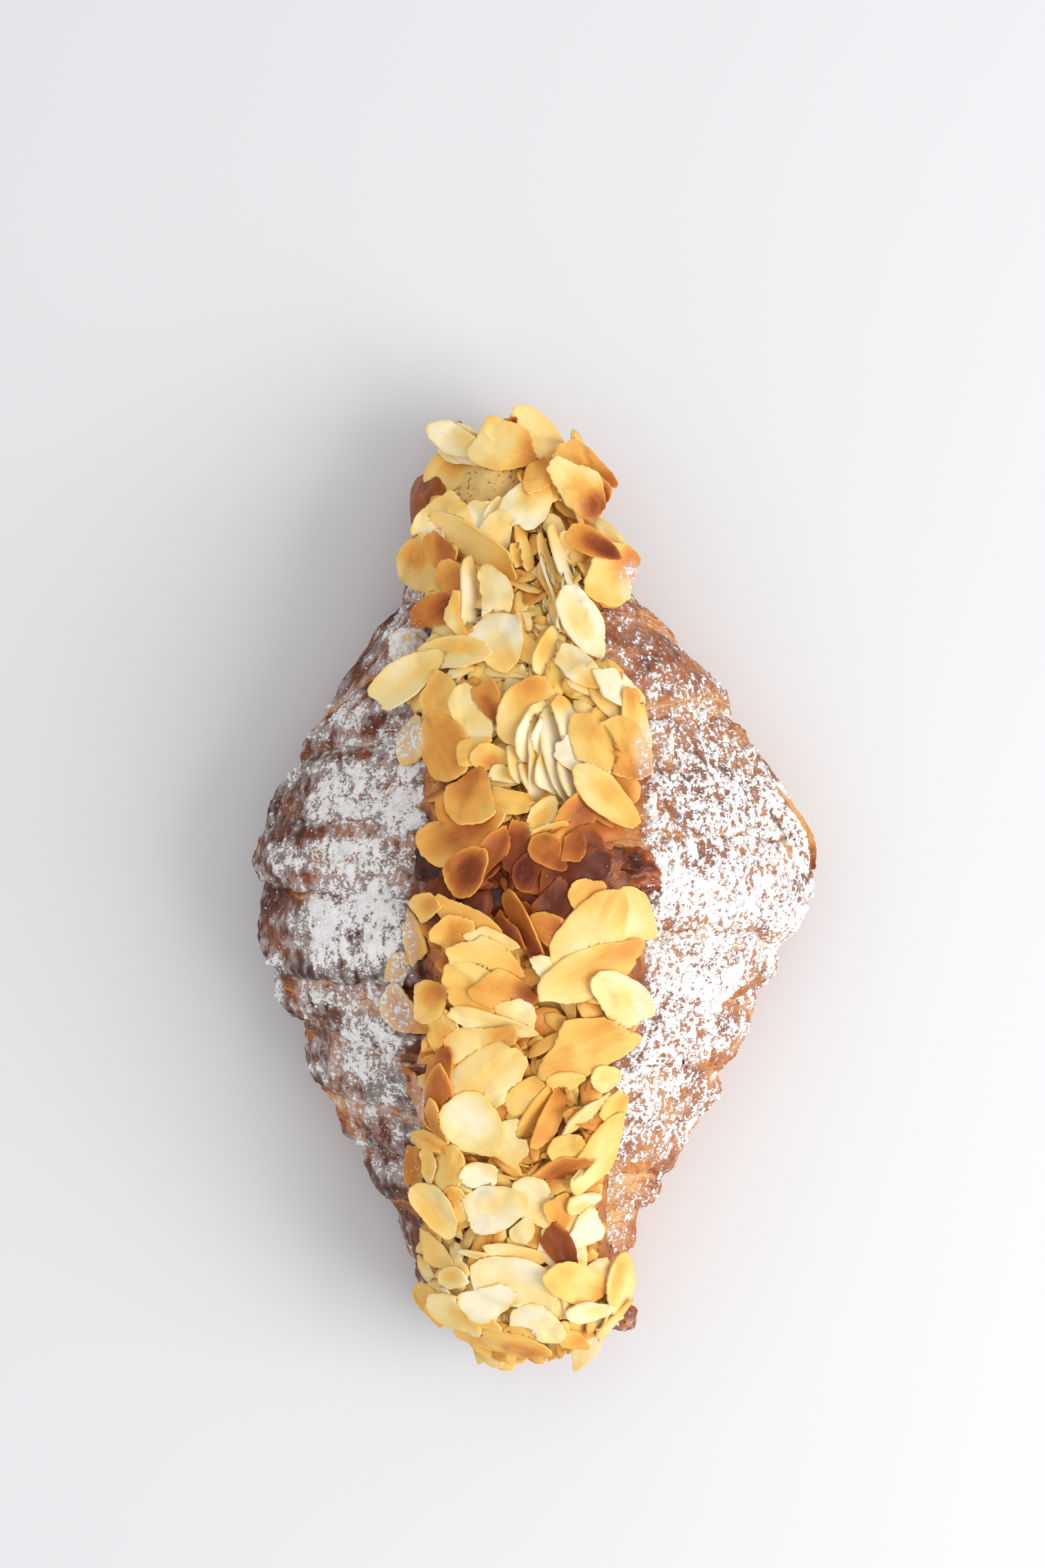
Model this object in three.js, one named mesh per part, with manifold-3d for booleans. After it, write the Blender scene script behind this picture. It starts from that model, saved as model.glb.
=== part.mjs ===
// Almond croissant: a rolled, stepped pastry, split along its ridge and topped with a band of
// almond cream that carries a heap of flaked almonds.
// Millimetres. The roll lies along Y with its narrow end towards +Y, +Z is up, and the flat
// baked underside lies on z = 0.
import * as THREE from 'three';
import { mergeVertices } from 'three/addons/utils/BufferGeometryUtils.js';
import Module from 'manifold-3d';

// ---- driving dimensions ---------------------------------------------------------------------

const RIDGE_HEIGHT = 46.5; // top of the pastry at its fattest section
const HALF_WIDTH = 50; // half width of that section
const HEIGHT_POWER = 0.57; // how slowly the ridge falls as the roll narrows
const BELLY = 0.36; // share of the height at which a section is widest
const SHOULDER = [2.1, 0.72]; // powers that round the shoulders of a section
const TUCK = 0.17; // how far the sides tuck in at the base, share of the half width
const BELLY_PLACE = 0.74; // where the widest point falls between ridge (0) and base edge (1)
const AROUND = 22; // facets from base edge to base edge over the top
const TIP_CAP = 1.4; // how far each end rounds out past its last section

// Plan of the pastry: distance along, then its left and right edge
const PLAN = [
  [80, -11, 3], [77, -15, 5.5], [72, -18.2, 7.6], [66, -20, 8.8], [59, -21.4, 13.5],
  [52, -24.5, 20], [44, -29.5, 27.5], [34, -36.5, 35.5], [24, -41.8, 41], [12, -48.4, 48.8],
  [4, -49.8, 50.2], [-4, -49.6, 48.4], [-13, -47.4, 43.8], [-23, -42, 40], [-33, -38.4, 34.4],
  [-43, -32.8, 29.2], [-52, -27.6, 23.8], [-60, -23.4, 19.4], [-68, -21.4, 18.6],
  [-74, -18.8, 17.6], [-78, -13.5, 13], [-80, -8, 8],
];

// Edges of the wraps, the lips that face the ends of the roll: where each crosses the left
// side, the ridge and the right side, and how far it stands above the wrap below it.
const NORTH_LIPS = [
  { left: 10.5, ridge: 11.5, right: 6, step: 3.2 },
  { left: 21.5, ridge: 28, right: 29, step: 2.8 },
  { left: 28, ridge: 46, right: 42, step: 2.6 },
  { left: 49, ridge: 54, right: 49, step: 2.2 },
  { left: 62, ridge: 66, right: 61, step: 1.8 },
];
const SOUTH_LIPS = [
  { left: 4.5, ridge: -2, right: -9, step: 3.2 },
  { left: -11, ridge: -16, right: -16, step: 2.8 },
  { left: -21, ridge: -27, right: -30, step: 2.6 },
  { left: -33, ridge: -38, right: -39, step: 2.4 },
  { left: -43, ridge: -47, right: -49.5, step: 2.2 },
  { left: -53, ridge: -56, right: -55, step: 1.8 },
  { left: -63, ridge: -66, right: -63, step: 1.5 },
];
const WRAP_STATIONS = [0, 0.3, 0.84, 1]; // sections from one lip's foot to the next lip
const RISE_POWER = 2.2; // how quickly a wrap swells out of the lip above it
const LIP_ROUND = 0.3; // rounding of the lip itself, share of its step

// Dark end of an inner layer that sticks out beside the narrow end
const KNOB = { at: [-19.4, 69.6, 12.5], radii: [4.8, 6.2, 6.4] };

// Almond cream: a lumpy band along the ridge
const CREAM_LEFT = -17.5;
const CREAM_RIGHT = 16.8;
const CREAM_THICK = 3.4;
const CREAM_LUMPS = 0.8; // how much the thickness wanders
const CREAM_EDGE_SHARE = 0.86; // widest the band gets, share of the pastry at the ends
const CREAM_NORTH = 79.5;
const CREAM_SOUTH = -78.5;
const BAND_END = 0.35; // width and thickness left at the two ends of the band
const END_SHARPNESS = 14; // how soon the band reaches its full width from an end
const BAND_ROOT = 3.4; // how far the band's solid reaches into the crust before it is cut
const CREAM_ALONG = 20;
const CREAM_ACROSS = 8;

// Bed of small flakes under the large ones, open where the cream shows
const BED_THICK = 1.3;
const BED_INSET = 1.06; // width of the bed, share of the cream's
const BED_WINDOWS = [
  { at: [-9.3, 73.2], radii: [5, 3.2] },
  { at: [-5.8, 1.4], radii: [2.4, 3.2] },
  { at: [4.2, -18.4], radii: [3.6, 2.4] },
  { at: [-14.5, -13.8], radii: [3, 2.6] },
];

// Flaked almonds
const FLAKE_THICK = 1.1;
const FLAKE_SIDES = 7;
const FLAKE_POINT = 0.24; // how much narrower a flake is towards its point
const FLAKE_SINK = 0.7; // how far a flake beds into what it rests on
const REST_SHARE = 0.95; // share of a flake that lies clear of what it rests on
const STEEPEST = 0.62; // steepest slope that a flake follows, where the roll is fattest
const HEAP_MOST = 3.6; // most that a flake's middle stands above the bed on the ridge
const CELL = 1; // grid of the heap's height while it is laid

// Large flakes in the order they are laid, lowest first: across, along, heading of the point in
// degrees from +X, length, width, and lean about the long axis in degrees.
const FLAKES = [
  // narrow end
  [1.8, 82, -35, 12, 9, 0], [-14.6, 77.6, 55, 12, 8, 0], [-11, 78.2, -30, 13, 6.4, 18],
  [-5.2, 80.5, -15, 14.5, 8.6, 8], [-16, 67, 80, 12, 8.6, 0],
  [-0.6, 68.6, 50, 11.5, 7, 0], [9, 76, -35, 13, 5.2, 26], [8.6, 72, -48, 12.5, 7.6, 8],
  [-19.6, 58.4, 60, 9.5, 7.4, 0], [-15.2, 60.2, -60, 8.4, 6.6, 10], [-6.3, 63, 70, 9, 5.2, 0],
  [-9, 60.6, -37, 19, 5.4, 34], [14.2, 56.4, 5, 12.6, 9.8, 0], [10.8, 61.4, -25, 9.4, 4, 24],
  [5.8, 58, 105, 17, 5.6, 40],
  // between the narrow end and the middle
  [-16.4, 49, 20, 8.6, 6, 12], [-12, 48, -65, 9.8, 4.8, 8],
  [-10.6, 52.4, 97, 15, 4.6, 50], [-6.6, 53, 105, 9.5, 5.4, 8], [-5.9, 44, -72, 11.4, 8.2, 0],
  [9.2, 47, -60, 12.8, 7.2, 0], [2.4, 42.4, 70, 9.4, 3.6, 26],
  [7.6, 39.4, -50, 9.8, 5.2, 8], [14.2, 36, -20, 10.6, 8, 0], [-13, 42, -5, 12.6, 5, 8],
  [-21.5, 37.6, 35, 12.5, 8.8, 0], [-15.4, 33.4, 110, 10.5, 6.8, 0],
  [-10.6, 30.6, 105, 11.5, 6.6, 0], [-7.3, 34, -65, 9, 4, 28], [10, 27, 100, 11.5, 6.8, 12],
  [15.8, 24.6, -65, 12.5, 8.2, 0], [-15, 26, 120, 11.4, 7.8, 0],
  // middle
  [-11.7, 11.2, 18, 14.6, 7.8, 0], [-10.2, 17.8, 100, 11, 7.8, 0], [7.4, 14.2, 50, 12.4, 5.8, 14],
  [12.6, 17.2, -42, 12.8, 6.4, 0], [8, 4.6, 15, 12.5, 8, 0], [-2.5, 9.2, 85, 11, 4, 10],
  [-9.4, 5.2, 55, 12, 6, 10], [3.4, -1, 80, 9, 6.8, 0], [-1.4, -4.6, -60, 15.5, 5, 30],
  [-10, -2.2, -33, 12.6, 5.4, 10], [17, -3.4, -50, 11.4, 7, 0], [10.2, -5.2, 55, 15.4, 9.2, 0],
  [-7.4, -10.4, -30, 13.4, 6.4, 0], [9.8, -12.2, 25, 18, 7.4, 8],
  // between the middle and the broad end
  [-8.4, -15.8, -32, 13.4, 7.2, 0], [15, -17.2, -25, 12.4, 8, 0], [9, -24.8, 13, 19, 8.8, 0],
  [-14.8, -22.8, -75, 9, 6, 0], [-9, -25, 35, 14, 8.2, 0], [-7.4, -30, 43, 17.2, 8.8, 0],
  [-16, -33.8, 75, 11, 5, 18], [-4, -41.4, -70, 9.4, 6.4, 0], [-9.8, -38.6, -60, 11.6, 8.8, 0],
  [1.6, -35.4, 66, 12.4, 5, 22], [9, -37, 50, 10.5, 4.4, 16], [11.6, -44, 65, 14.4, 6.4, 12],
  [5.4, -46.8, 38, 12.6, 5.8, 8],
  // broad end
  [-13.8, -47, 80, 9.6, 6.6, 0], [1.2, -52.6, -50, 10, 6.4, 0], [-7.2, -53.4, 15, 12.8, 7.6, 0],
  [-16.6, -54, -60, 10, 6, 0], [9.6, -57.6, 70, 9, 6, 0], [4.6, -60.6, -57, 9.4, 4.4, 22],
  [-3.4, -62, -5, 11, 4, 10], [-16.6, -62, -40, 9.6, 4.4, 16], [-1.2, -67, -15, 17, 7.4, 0],
  [8.4, -67.4, -22, 14, 6, 8], [15.2, -67.6, 60, 9.8, 6.4, 0], [-11.8, -73, -12, 13, 7.2, 0],
  [-7.4, -69.4, 25, 10, 6.4, 0], [1.2, -74.4, -45, 10, 6.6, 0], [-3.4, -78, -18, 12.5, 5.4, 0],
];
// Flakes packed on edge beside each other, the first and the last place given
const FAN = { count: 6, from: [-3.6, 31.5], to: [7.4, 25], length: 16, width: 6, lean: 62 };
const HANGING_FLAKE = { at: [9.6, -80.9, 18.4], heading: -105, length: 12.4, width: 4.8, drop: 32 };

// Two lumps that sit apart from the heap
const NIB = { across: -21.2, along: 43.4, radii: [4, 3.7, 2.6], sides: 9 };
const NUGGET = { at: [15.9, -75.8, 12.5], radii: [3.4, 3, 2.8], sides: 7 };

const GAP = 0.3; // clear space between pieces that touch
const SKIN_SPARE = 0.4; // extra room for the skin's larger facets
const SKIN_ALONG = 24;
const SKIN_AROUND = 18;

// ---- curves and the pastry's surface ----------------------------------------------------------

const manifold = await Module();
manifold.setup();

// Smooth curve through rows of [place, value...], level at a peak and never overshooting
function curveThrough(rows, column) {
  const points = [...rows].sort((a, b) => a[0] - b[0]).map((row) => [row[0], row[column]]);
  const slope = (i) => (points[i + 1][1] - points[i][1]) / (points[i + 1][0] - points[i][0]);
  const tangents = points.map((point, i) => {
    if (i === 0) return slope(0);
    if (i === points.length - 1) return slope(i - 1);
    const [before, after] = [slope(i - 1), slope(i)];
    return before * after <= 0 ? 0 : (2 * before * after) / (before + after);
  });
  return (place) => {
    const last = points.length - 2;
    const found = points.findIndex((point, i) => i > 0 && place <= point[0]) - 1;
    const i = found < 0 ? (place < points[0][0] ? 0 : last) : found;
    const span = points[i + 1][0] - points[i][0];
    const s = THREE.MathUtils.clamp((place - points[i][0]) / span, 0, 1);
    return (1 + 2 * s) * (1 - s) ** 2 * points[i][1] + s * (1 - s) ** 2 * span * tangents[i]
      + s * s * (3 - 2 * s) * points[i + 1][1] - s * s * (1 - s) * span * tangents[i + 1];
  };
}

const leftEdge = curveThrough(PLAN, 1);
const rightEdge = curveThrough(PLAN, 2);
const centreLine = (y) => (leftEdge(y) + rightEdge(y)) / 2;
const halfWidth = (y) => (rightEdge(y) - leftEdge(y)) / 2;
const ridgeHeight = (y) => RIDGE_HEIGHT * (halfWidth(y) / HALF_WIDTH) ** HEIGHT_POWER;

// Height of the smooth crust above the table
function crustHeight(x, y) {
  const share = Math.min(Math.abs(x - centreLine(y)) / halfWidth(y), 1);
  const ridge = ridgeHeight(y);
  return ridge * (BELLY + (1 - BELLY) * (1 - share ** SHOULDER[0]) ** SHOULDER[1]);
}

// A point of a section: around runs from -1, the left base edge, over the ridge at 0 to +1,
// and sink moves it in towards the middle of the section.
function sectionPoint(y, around, sink) {
  const place = Math.abs(around);
  const [wide, ridge] = [halfWidth(y), ridgeHeight(y)];
  let [share, height] = [1, 0];
  if (place <= BELLY_PLACE) {
    share = Math.sin((Math.PI / 2) * (place / BELLY_PLACE));
    height = ridge * (BELLY + (1 - BELLY) * (1 - share ** SHOULDER[0]) ** SHOULDER[1]);
  } else {
    const below = (place - BELLY_PLACE) / (1 - BELLY_PLACE);
    share = 1 - TUCK * below ** 2.2;
    height = ridge * BELLY * (1 - below) - GAP * below;
  }
  const across = Math.sign(around) * share * Math.max(wide - sink, 1);
  return [centreLine(y) + across, y, height * Math.max(1 - sink / ridge, 0.5)];
}

// ---- solids -----------------------------------------------------------------------------------

function toManifold(geometry) {
  const bare = geometry.clone();
  bare.deleteAttribute('normal');
  bare.deleteAttribute('uv');
  const merged = mergeVertices(bare, 1e-4);
  const vertProperties = new Float32Array(merged.attributes.position.array);
  const triVerts = new Uint32Array(merged.index.array);
  return new manifold.Manifold(new manifold.Mesh({ numProp: 3, vertProperties, triVerts }));
}

function toGeometry(solid) {
  const mesh = solid.getMesh();
  const geometry = new THREE.BufferGeometry();
  geometry.setAttribute('position', new THREE.BufferAttribute(mesh.vertProperties, 3));
  geometry.setIndex(new THREE.BufferAttribute(mesh.triVerts, 1));
  geometry.computeVertexNormals();
  return geometry;
}

// Closed solid from rings of points, each ring going the same way round, with a pole at each end
function loft(rings, firstPole, lastPole) {
  const size = rings[0].length;
  const points = [...rings.flat(), firstPole, lastPole];
  const [first, last] = [points.length - 2, points.length - 1];
  const faces = [];
  rings.forEach((ring, r) => ring.forEach((point, i) => {
    const next = (i + 1) % size;
    if (r === 0) faces.push(first, next, i);
    if (r === rings.length - 1) {
      faces.push(last, r * size + i, r * size + next);
      return;
    }
    const [a, b, c, d] = [r * size + i, r * size + next, (r + 1) * size + next, (r + 1) * size + i];
    faces.push(a, b, c, a, c, d);
  }));
  const geometry = new THREE.BufferGeometry();
  geometry.setAttribute('position', new THREE.Float32BufferAttribute(points.flat(), 3));
  geometry.setIndex(faces);
  return geometry;
}

// Where a lip crosses a section, from its three places by a parabola
function lipPlace(lip, around) {
  const side = THREE.MathUtils.clamp(around / BELLY_PLACE, -1, 1);
  const tilt = (lip.right - lip.left) / 2;
  const bow = (lip.right + lip.left) / 2 - lip.ridge;
  return lip.ridge + tilt * side + bow * side * side;
}

const AROUNDS = Array.from({ length: AROUND + 1 }, (none, i) => (2 * i) / AROUND - 1);

// Sections of the wraps from the middle of the roll out to one end
function wrapRings(lips, endY) {
  const edges = [...lips, { left: endY, ridge: endY, right: endY, step: lips.at(-1).step }];
  const rings = [];
  lips.forEach((lip, k) => WRAP_STATIONS.forEach((t) => {
    const sink = lip.step * (1 - t) ** RISE_POWER + LIP_ROUND * edges[k + 1].step * t ** 12;
    const spread = t === 0 ? 0.12 * Math.sign(endY) : 0;
    rings.push(AROUNDS.map((around) => {
      const y = THREE.MathUtils.lerp(lipPlace(lip, around), lipPlace(edges[k + 1], around), t);
      return sectionPoint(y + spread, around, sink);
    }));
  }));
  return rings;
}

const knob = toManifold(
  new THREE.SphereGeometry(1, 10, 7).scale(...KNOB.radii).translate(...KNOB.at));

function pastrySolid() {
  const [northEnd, southEnd] = [PLAN[0][0], PLAN.at(-1)[0]];
  const centre = WRAP_STATIONS.map((t) => AROUNDS.map((around) => {
    const y = THREE.MathUtils.lerp(
      lipPlace(SOUTH_LIPS[0], around), lipPlace(NORTH_LIPS[0], around), t);
    return sectionPoint(y, around, LIP_ROUND * NORTH_LIPS[0].step * Math.abs(2 * t - 1) ** 8);
  }));
  const rings = [...wrapRings(SOUTH_LIPS, southEnd).reverse(), ...centre,
    ...wrapRings(NORTH_LIPS, northEnd)];
  const pole = (y, past) => [centreLine(y), y + past, ridgeHeight(y) * 0.4];
  const body = toManifold(loft(rings, pole(southEnd, -TIP_CAP), pole(northEnd, TIP_CAP)));
  const table = new THREE.BoxGeometry(200, 250, 20).translate(0, 0, -10);
  return body.add(knob).subtract(toManifold(table));
}

// Lumpy thickness of the cream, from a few waves that don't line up
function creamThickness(x, y) {
  const waves = Math.sin(0.31 * y + 0.4) + Math.sin(0.53 * x - 0.17 * y) + Math.sin(0.83 * y + 1.9);
  return CREAM_THICK + (CREAM_LUMPS * waves) / 3;
}

// Left and right edge of the cream, wandering, and drawn in where the pastry narrows
function creamEdges(y) {
  const reach = CREAM_EDGE_SHARE * halfWidth(y);
  const left = Math.max(CREAM_LEFT + Math.sin(0.23 * y), centreLine(y) - reach);
  const right = Math.min(CREAM_RIGHT + Math.sin(0.19 * y + 2), centreLine(y) + reach);
  return [left, right];
}

// Middle and half width of a band over the cream's run, drawn in at the two ends
function bandReach(y, inset) {
  const [left, right] = creamEdges(y);
  const run = (y - CREAM_SOUTH) / (CREAM_NORTH - CREAM_SOUTH);
  const end = Math.min(1, BAND_END + END_SHARPNESS * Math.sin(Math.PI * run));
  return [(left + right) / 2, (inset * end * (right - left)) / 2, end];
}

// Top of a band: its thickness above the crust, thinning towards its two sides and its ends
function bandTop(x, y, thickness, inset) {
  const [middle, half, end] = bandReach(y, inset);
  const share = Math.min(Math.abs(x - middle) / half, 1);
  return crustHeight(x, y) + end * (1 - share ** 3) ** 0.5 * thickness(x, y);
}

// Sections of a band lie closer together towards its two ends
const sectionRun = (j, count) => (1 - Math.cos((Math.PI * j) / count)) / 2;

// Solid band over the pastry, from its top down into the crust
function bandOver(thickness, inset) {
  const rings = Array.from({ length: CREAM_ALONG + 1 }, (none, j) => {
    const y = THREE.MathUtils.lerp(CREAM_SOUTH, CREAM_NORTH, sectionRun(j, CREAM_ALONG));
    const [middle, half] = bandReach(y, inset);
    const top = Array.from({ length: CREAM_ACROSS + 1 }, (empty, i) => {
      const x = middle + half * Math.sin((Math.PI / 2) * ((2 * i) / CREAM_ACROSS - 1));
      return [x, y, bandTop(x, y, thickness, inset)];
    });
    const under = [...top].reverse().map(([x]) => [x, y, crustHeight(x, y) - BAND_ROOT]);
    return [...under, ...top];
  });
  const pole = (ring) => [0, 1, 2].map((axis) => (ring[2][axis] + ring.at(-3)[axis]) / 2);
  return toManifold(loft(rings, pole(rings[0]), pole(rings.at(-1))));
}

const bedThickness = (x, y) => creamThickness(x, y) + BED_THICK;

// Slice of an almond: an oval drawn in towards its point, lying along +X, of even thickness
function flakeShape(length, width) {
  const corner = (i) => {
    const turn = (i / FLAKE_SIDES) * 2 * Math.PI;
    const taper = 1 - FLAKE_POINT * Math.cos(turn);
    return new THREE.Vector2((length / 2) * Math.cos(turn), (width / 2) * Math.sin(turn) * taper);
  };
  const outline = new THREE.Shape(Array.from({ length: FLAKE_SIDES }, (none, i) => corner(i)));
  const plate = new THREE.ExtrudeGeometry(outline, { depth: FLAKE_THICK, bevelEnabled: false });
  return plate.translate(0, 0, -FLAKE_THICK / 2);
}

// Direction that a flake faces before it is leaned: the crust's, but never steeper than a limit
function heapNormal(x, y) {
  const fallX = (crustHeight(x - CELL, y) - crustHeight(x + CELL, y)) / (2 * CELL);
  const fallY = (crustHeight(x, y - CELL) - crustHeight(x, y + CELL)) / (2 * CELL);
  const steepest = STEEPEST * (ridgeHeight(y) / RIDGE_HEIGHT) ** 0.5;
  const ease = Math.min(1, steepest / Math.hypot(fallX, fallY, 1e-6));
  return new THREE.Vector3(fallX * ease, fallY * ease, 1).normalize();
}

// Axes of a flake: along to its point, across it, and out of its face, turned and leaned
function flakeAxes(normal, heading, lean) {
  const turn = THREE.MathUtils.degToRad(heading);
  const along = new THREE.Vector3(Math.cos(turn), Math.sin(turn), 0);
  along.addScaledVector(normal, -along.dot(normal)).normalize();
  const leaned = normal.clone().applyAxisAngle(along, THREE.MathUtils.degToRad(lean));
  return [along, new THREE.Vector3().crossVectors(leaned, along), leaned];
}

// Laying the heap: a grid of heights that starts as the bed and rises under each flake
function flakeLayer() {
  const heights = new Map();
  const ground = (x, y) => {
    if (Math.abs(x - centreLine(y)) > halfWidth(y) || Math.abs(y) > PLAN[0][0]) return 0;
    const bed = bandTop(x, y, bedThickness, BED_INSET);
    return Math.max(bed, bandTop(x, y, creamThickness, 1));
  };
  const heightAt = (x, y) => heights.get(`${x},${y}`) ?? ground(x, y);
  return ([x, y, heading, length, width, lean]) => {
    const [along, side, face] = flakeAxes(heapNormal(x, y), heading, lean);
    const cells = [];
    const reach = Math.ceil(length / 2 / CELL) * CELL;
    for (let dx = -reach; dx <= reach; dx += CELL) {
      for (let dy = -reach; dy <= reach; dy += CELL) {
        const rise = -(face.x * dx + face.y * dy) / face.z;
        const offset = new THREE.Vector3(dx, dy, rise);
        const [u, v] = [(2 * offset.dot(along)) / length, (2 * offset.dot(side)) / width];
        if (u * u + (v / (1 - FLAKE_POINT * u)) ** 2 < 1) {
          cells.push({ x: Math.round(x) + dx, y: Math.round(y) + dy, rise });
        }
      }
    }
    const held = cells.filter((cell) => heightAt(cell.x, cell.y) > 0);
    const contacts = held.map((cell) => heightAt(cell.x, cell.y) - cell.rise).sort((a, b) => a - b);
    const half = FLAKE_THICK / 2;
    const rest = contacts[Math.floor(REST_SHARE * (contacts.length - 1))] + half - FLAKE_SINK;
    const middle = Math.min(rest, ridgeHeight(y) + CREAM_THICK + BED_THICK + HEAP_MOST);
    cells.forEach((cell) => {
      const top = middle + cell.rise + half;
      if (top > heightAt(cell.x, cell.y)) heights.set(`${cell.x},${cell.y}`, top);
    });
    const place = new THREE.Matrix4().makeBasis(along, side, face).setPosition(x, y, middle);
    return toManifold(flakeShape(length, width).applyMatrix4(place));
  };
}

function fanRows() {
  return Array.from({ length: FAN.count }, (none, i) => {
    const share = i / (FAN.count - 1);
    const x = THREE.MathUtils.lerp(FAN.from[0], FAN.to[0], share);
    const y = THREE.MathUtils.lerp(FAN.from[1], FAN.to[1], share);
    return [x, y, 80 + 24 * share, FAN.length, FAN.width, FAN.lean];
  });
}

// The flake that hangs over the broad end, its point down
function hangingFlake() {
  const { at, heading, length, width, drop } = HANGING_FLAKE;
  const [tilt, turn] = [drop, heading].map(THREE.MathUtils.degToRad);
  const face = new THREE.Vector3(
    Math.sin(tilt) * Math.cos(turn), Math.sin(tilt) * Math.sin(turn), Math.cos(tilt));
  const place = new THREE.Matrix4().makeBasis(...flakeAxes(face, heading, 0)).setPosition(...at);
  return toManifold(flakeShape(length, width).applyMatrix4(place));
}

// The room that a solid takes with a clear space over it
const cleared = (solid) => solid.add(solid.translate([0, 0, GAP]));
const largestPart = (solid) => solid.decompose().sort((a, b) => b.volume() - a.volume())[0];

// ---- the five pieces ----------------------------------------------------------------------------

const pastry = pastrySolid();
// Smooth skin just clear of the crust, which everything in the heap stays above
function crustSkin() {
  const rings = Array.from({ length: SKIN_ALONG + 1 }, (none, j) => {
    const y = THREE.MathUtils.lerp(PLAN.at(-1)[0], PLAN[0][0], sectionRun(j, SKIN_ALONG));
    return Array.from({ length: SKIN_AROUND + 1 }, (empty, i) => {
      const around = (2 * i) / SKIN_AROUND - 1;
      return sectionPoint(y, around, -GAP - SKIN_SPARE);
    });
  });
  const pole = (ring, past) => [centreLine(ring[0][1]), ring[0][1] + past, GAP];
  return toManifold(loft(rings, pole(rings[0], -TIP_CAP - GAP), pole(rings.at(-1), TIP_CAP + GAP)));
}

const skin = crustSkin().add(cleared(knob));
const creamBand = bandOver(creamThickness, 1);
const cream = largestPart(creamBand.subtract(skin));

function flakeHeap() {
  const bed = bandOver(bedThickness, BED_INSET);
  const windows = BED_WINDOWS.map(({ at, radii }) => toManifold(
    new THREE.CylinderGeometry(1, 1, 200, 10).rotateX(Math.PI / 2)
      .scale(radii[0], radii[1], 1).translate(at[0], at[1], 0)));
  const flakes = [...[...FLAKES, ...fanRows()].map(flakeLayer()), hangingFlake()];
  const whole = manifold.Manifold.union([bed.subtract(manifold.Manifold.union(windows)), ...flakes]);
  return largestPart(whole.subtract(skin.add(creamBand.translate([0, 0, GAP]))));
}

function lump({ at, radii, sides }) {
  const ball = new THREE.SphereGeometry(1, sides, Math.ceil(sides / 2) + 1);
  return toManifold(ball.scale(...radii).translate(...at));
}

const nibAt = [NIB.across, NIB.along, crustHeight(NIB.across, NIB.along) + NIB.radii[2] * 0.6];
const heap = flakeHeap();
const nib = largestPart(lump({ ...NIB, at: nibAt }).subtract(cleared(pastry).add(cleared(heap))));
const nugget = largestPart(lump(NUGGET).subtract(cleared(pastry).add(cleared(heap))));

const PIECES = [
  { name: 'pastry', solid: pastry, color: 0x9a5a2c, roughness: 0.5 },
  { name: 'almond_cream', solid: cream, color: 0xd9b878, roughness: 0.8 },
  { name: 'flaked_almonds', solid: heap, color: 0xecc987, roughness: 0.55 },
  { name: 'sugared_nib', solid: nib, color: 0xd8c0a4, roughness: 0.9 },
  { name: 'toasted_nugget', solid: nugget, color: 0x7a3a16, roughness: 0.5 },
];

const group = new THREE.Group();
for (const { name, solid, color, roughness } of PIECES) {
  const material = new THREE.MeshStandardMaterial({ color, roughness, metalness: 0 });
  const mesh = new THREE.Mesh(toGeometry(solid), material);
  mesh.name = name;
  group.add(mesh);
}

// The origin is the middle of the whole piece's footprint
const middle = new THREE.Box3().setFromObject(group).getCenter(new THREE.Vector3());
group.position.set(-middle.x, -middle.y, 0);

export default group;
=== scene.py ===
"""Almond croissant: flaky rolled wraps, a band of almond cream, flaked almonds and icing sugar.

Lengths are in millimetres until placed() turns them into the frame's metres. The roll lies along
Y with its narrow end towards +Y, +Z is up, and the baked underside lies on z = 0.
"""
import math

import bpy
import numpy as np
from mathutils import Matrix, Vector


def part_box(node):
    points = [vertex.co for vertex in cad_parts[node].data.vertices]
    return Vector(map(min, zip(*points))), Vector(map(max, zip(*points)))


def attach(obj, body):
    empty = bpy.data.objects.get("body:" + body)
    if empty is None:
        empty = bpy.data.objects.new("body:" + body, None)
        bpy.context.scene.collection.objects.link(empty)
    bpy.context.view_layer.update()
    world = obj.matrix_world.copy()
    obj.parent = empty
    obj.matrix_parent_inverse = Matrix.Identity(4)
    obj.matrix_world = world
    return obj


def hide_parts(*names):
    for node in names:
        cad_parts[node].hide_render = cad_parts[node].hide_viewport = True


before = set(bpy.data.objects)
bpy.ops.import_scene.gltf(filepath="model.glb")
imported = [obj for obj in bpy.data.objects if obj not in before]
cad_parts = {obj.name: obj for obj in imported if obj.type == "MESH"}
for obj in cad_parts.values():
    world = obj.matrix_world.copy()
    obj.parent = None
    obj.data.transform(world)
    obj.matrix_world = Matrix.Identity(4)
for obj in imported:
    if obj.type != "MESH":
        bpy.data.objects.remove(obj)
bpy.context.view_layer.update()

# ---- driving dimensions, in millimetres ---------------------------------------------------------

MM = 0.001
PASTRY_MIDDLE = (0.2513, 0.0)  # middle of the pastry's footprint, as the plan below measures it
RIDGE_HEIGHT = 46.5  # top of the pastry at its fattest section
HALF_WIDTH = 50.0  # half width of that section
HEIGHT_POWER = 0.57  # how slowly the ridge falls as the roll narrows
BELLY = 0.36  # share of the height at which a section is widest
SHOULDER = (2.1, 0.72)  # powers that round the shoulders of a section
TUCK = 0.17  # how far the sides tuck in at the base, share of the half width
TUCK_POWER = 2.2
BELLY_PLACE = 0.74  # where the widest point falls between ridge (0) and base edge (1)

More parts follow.
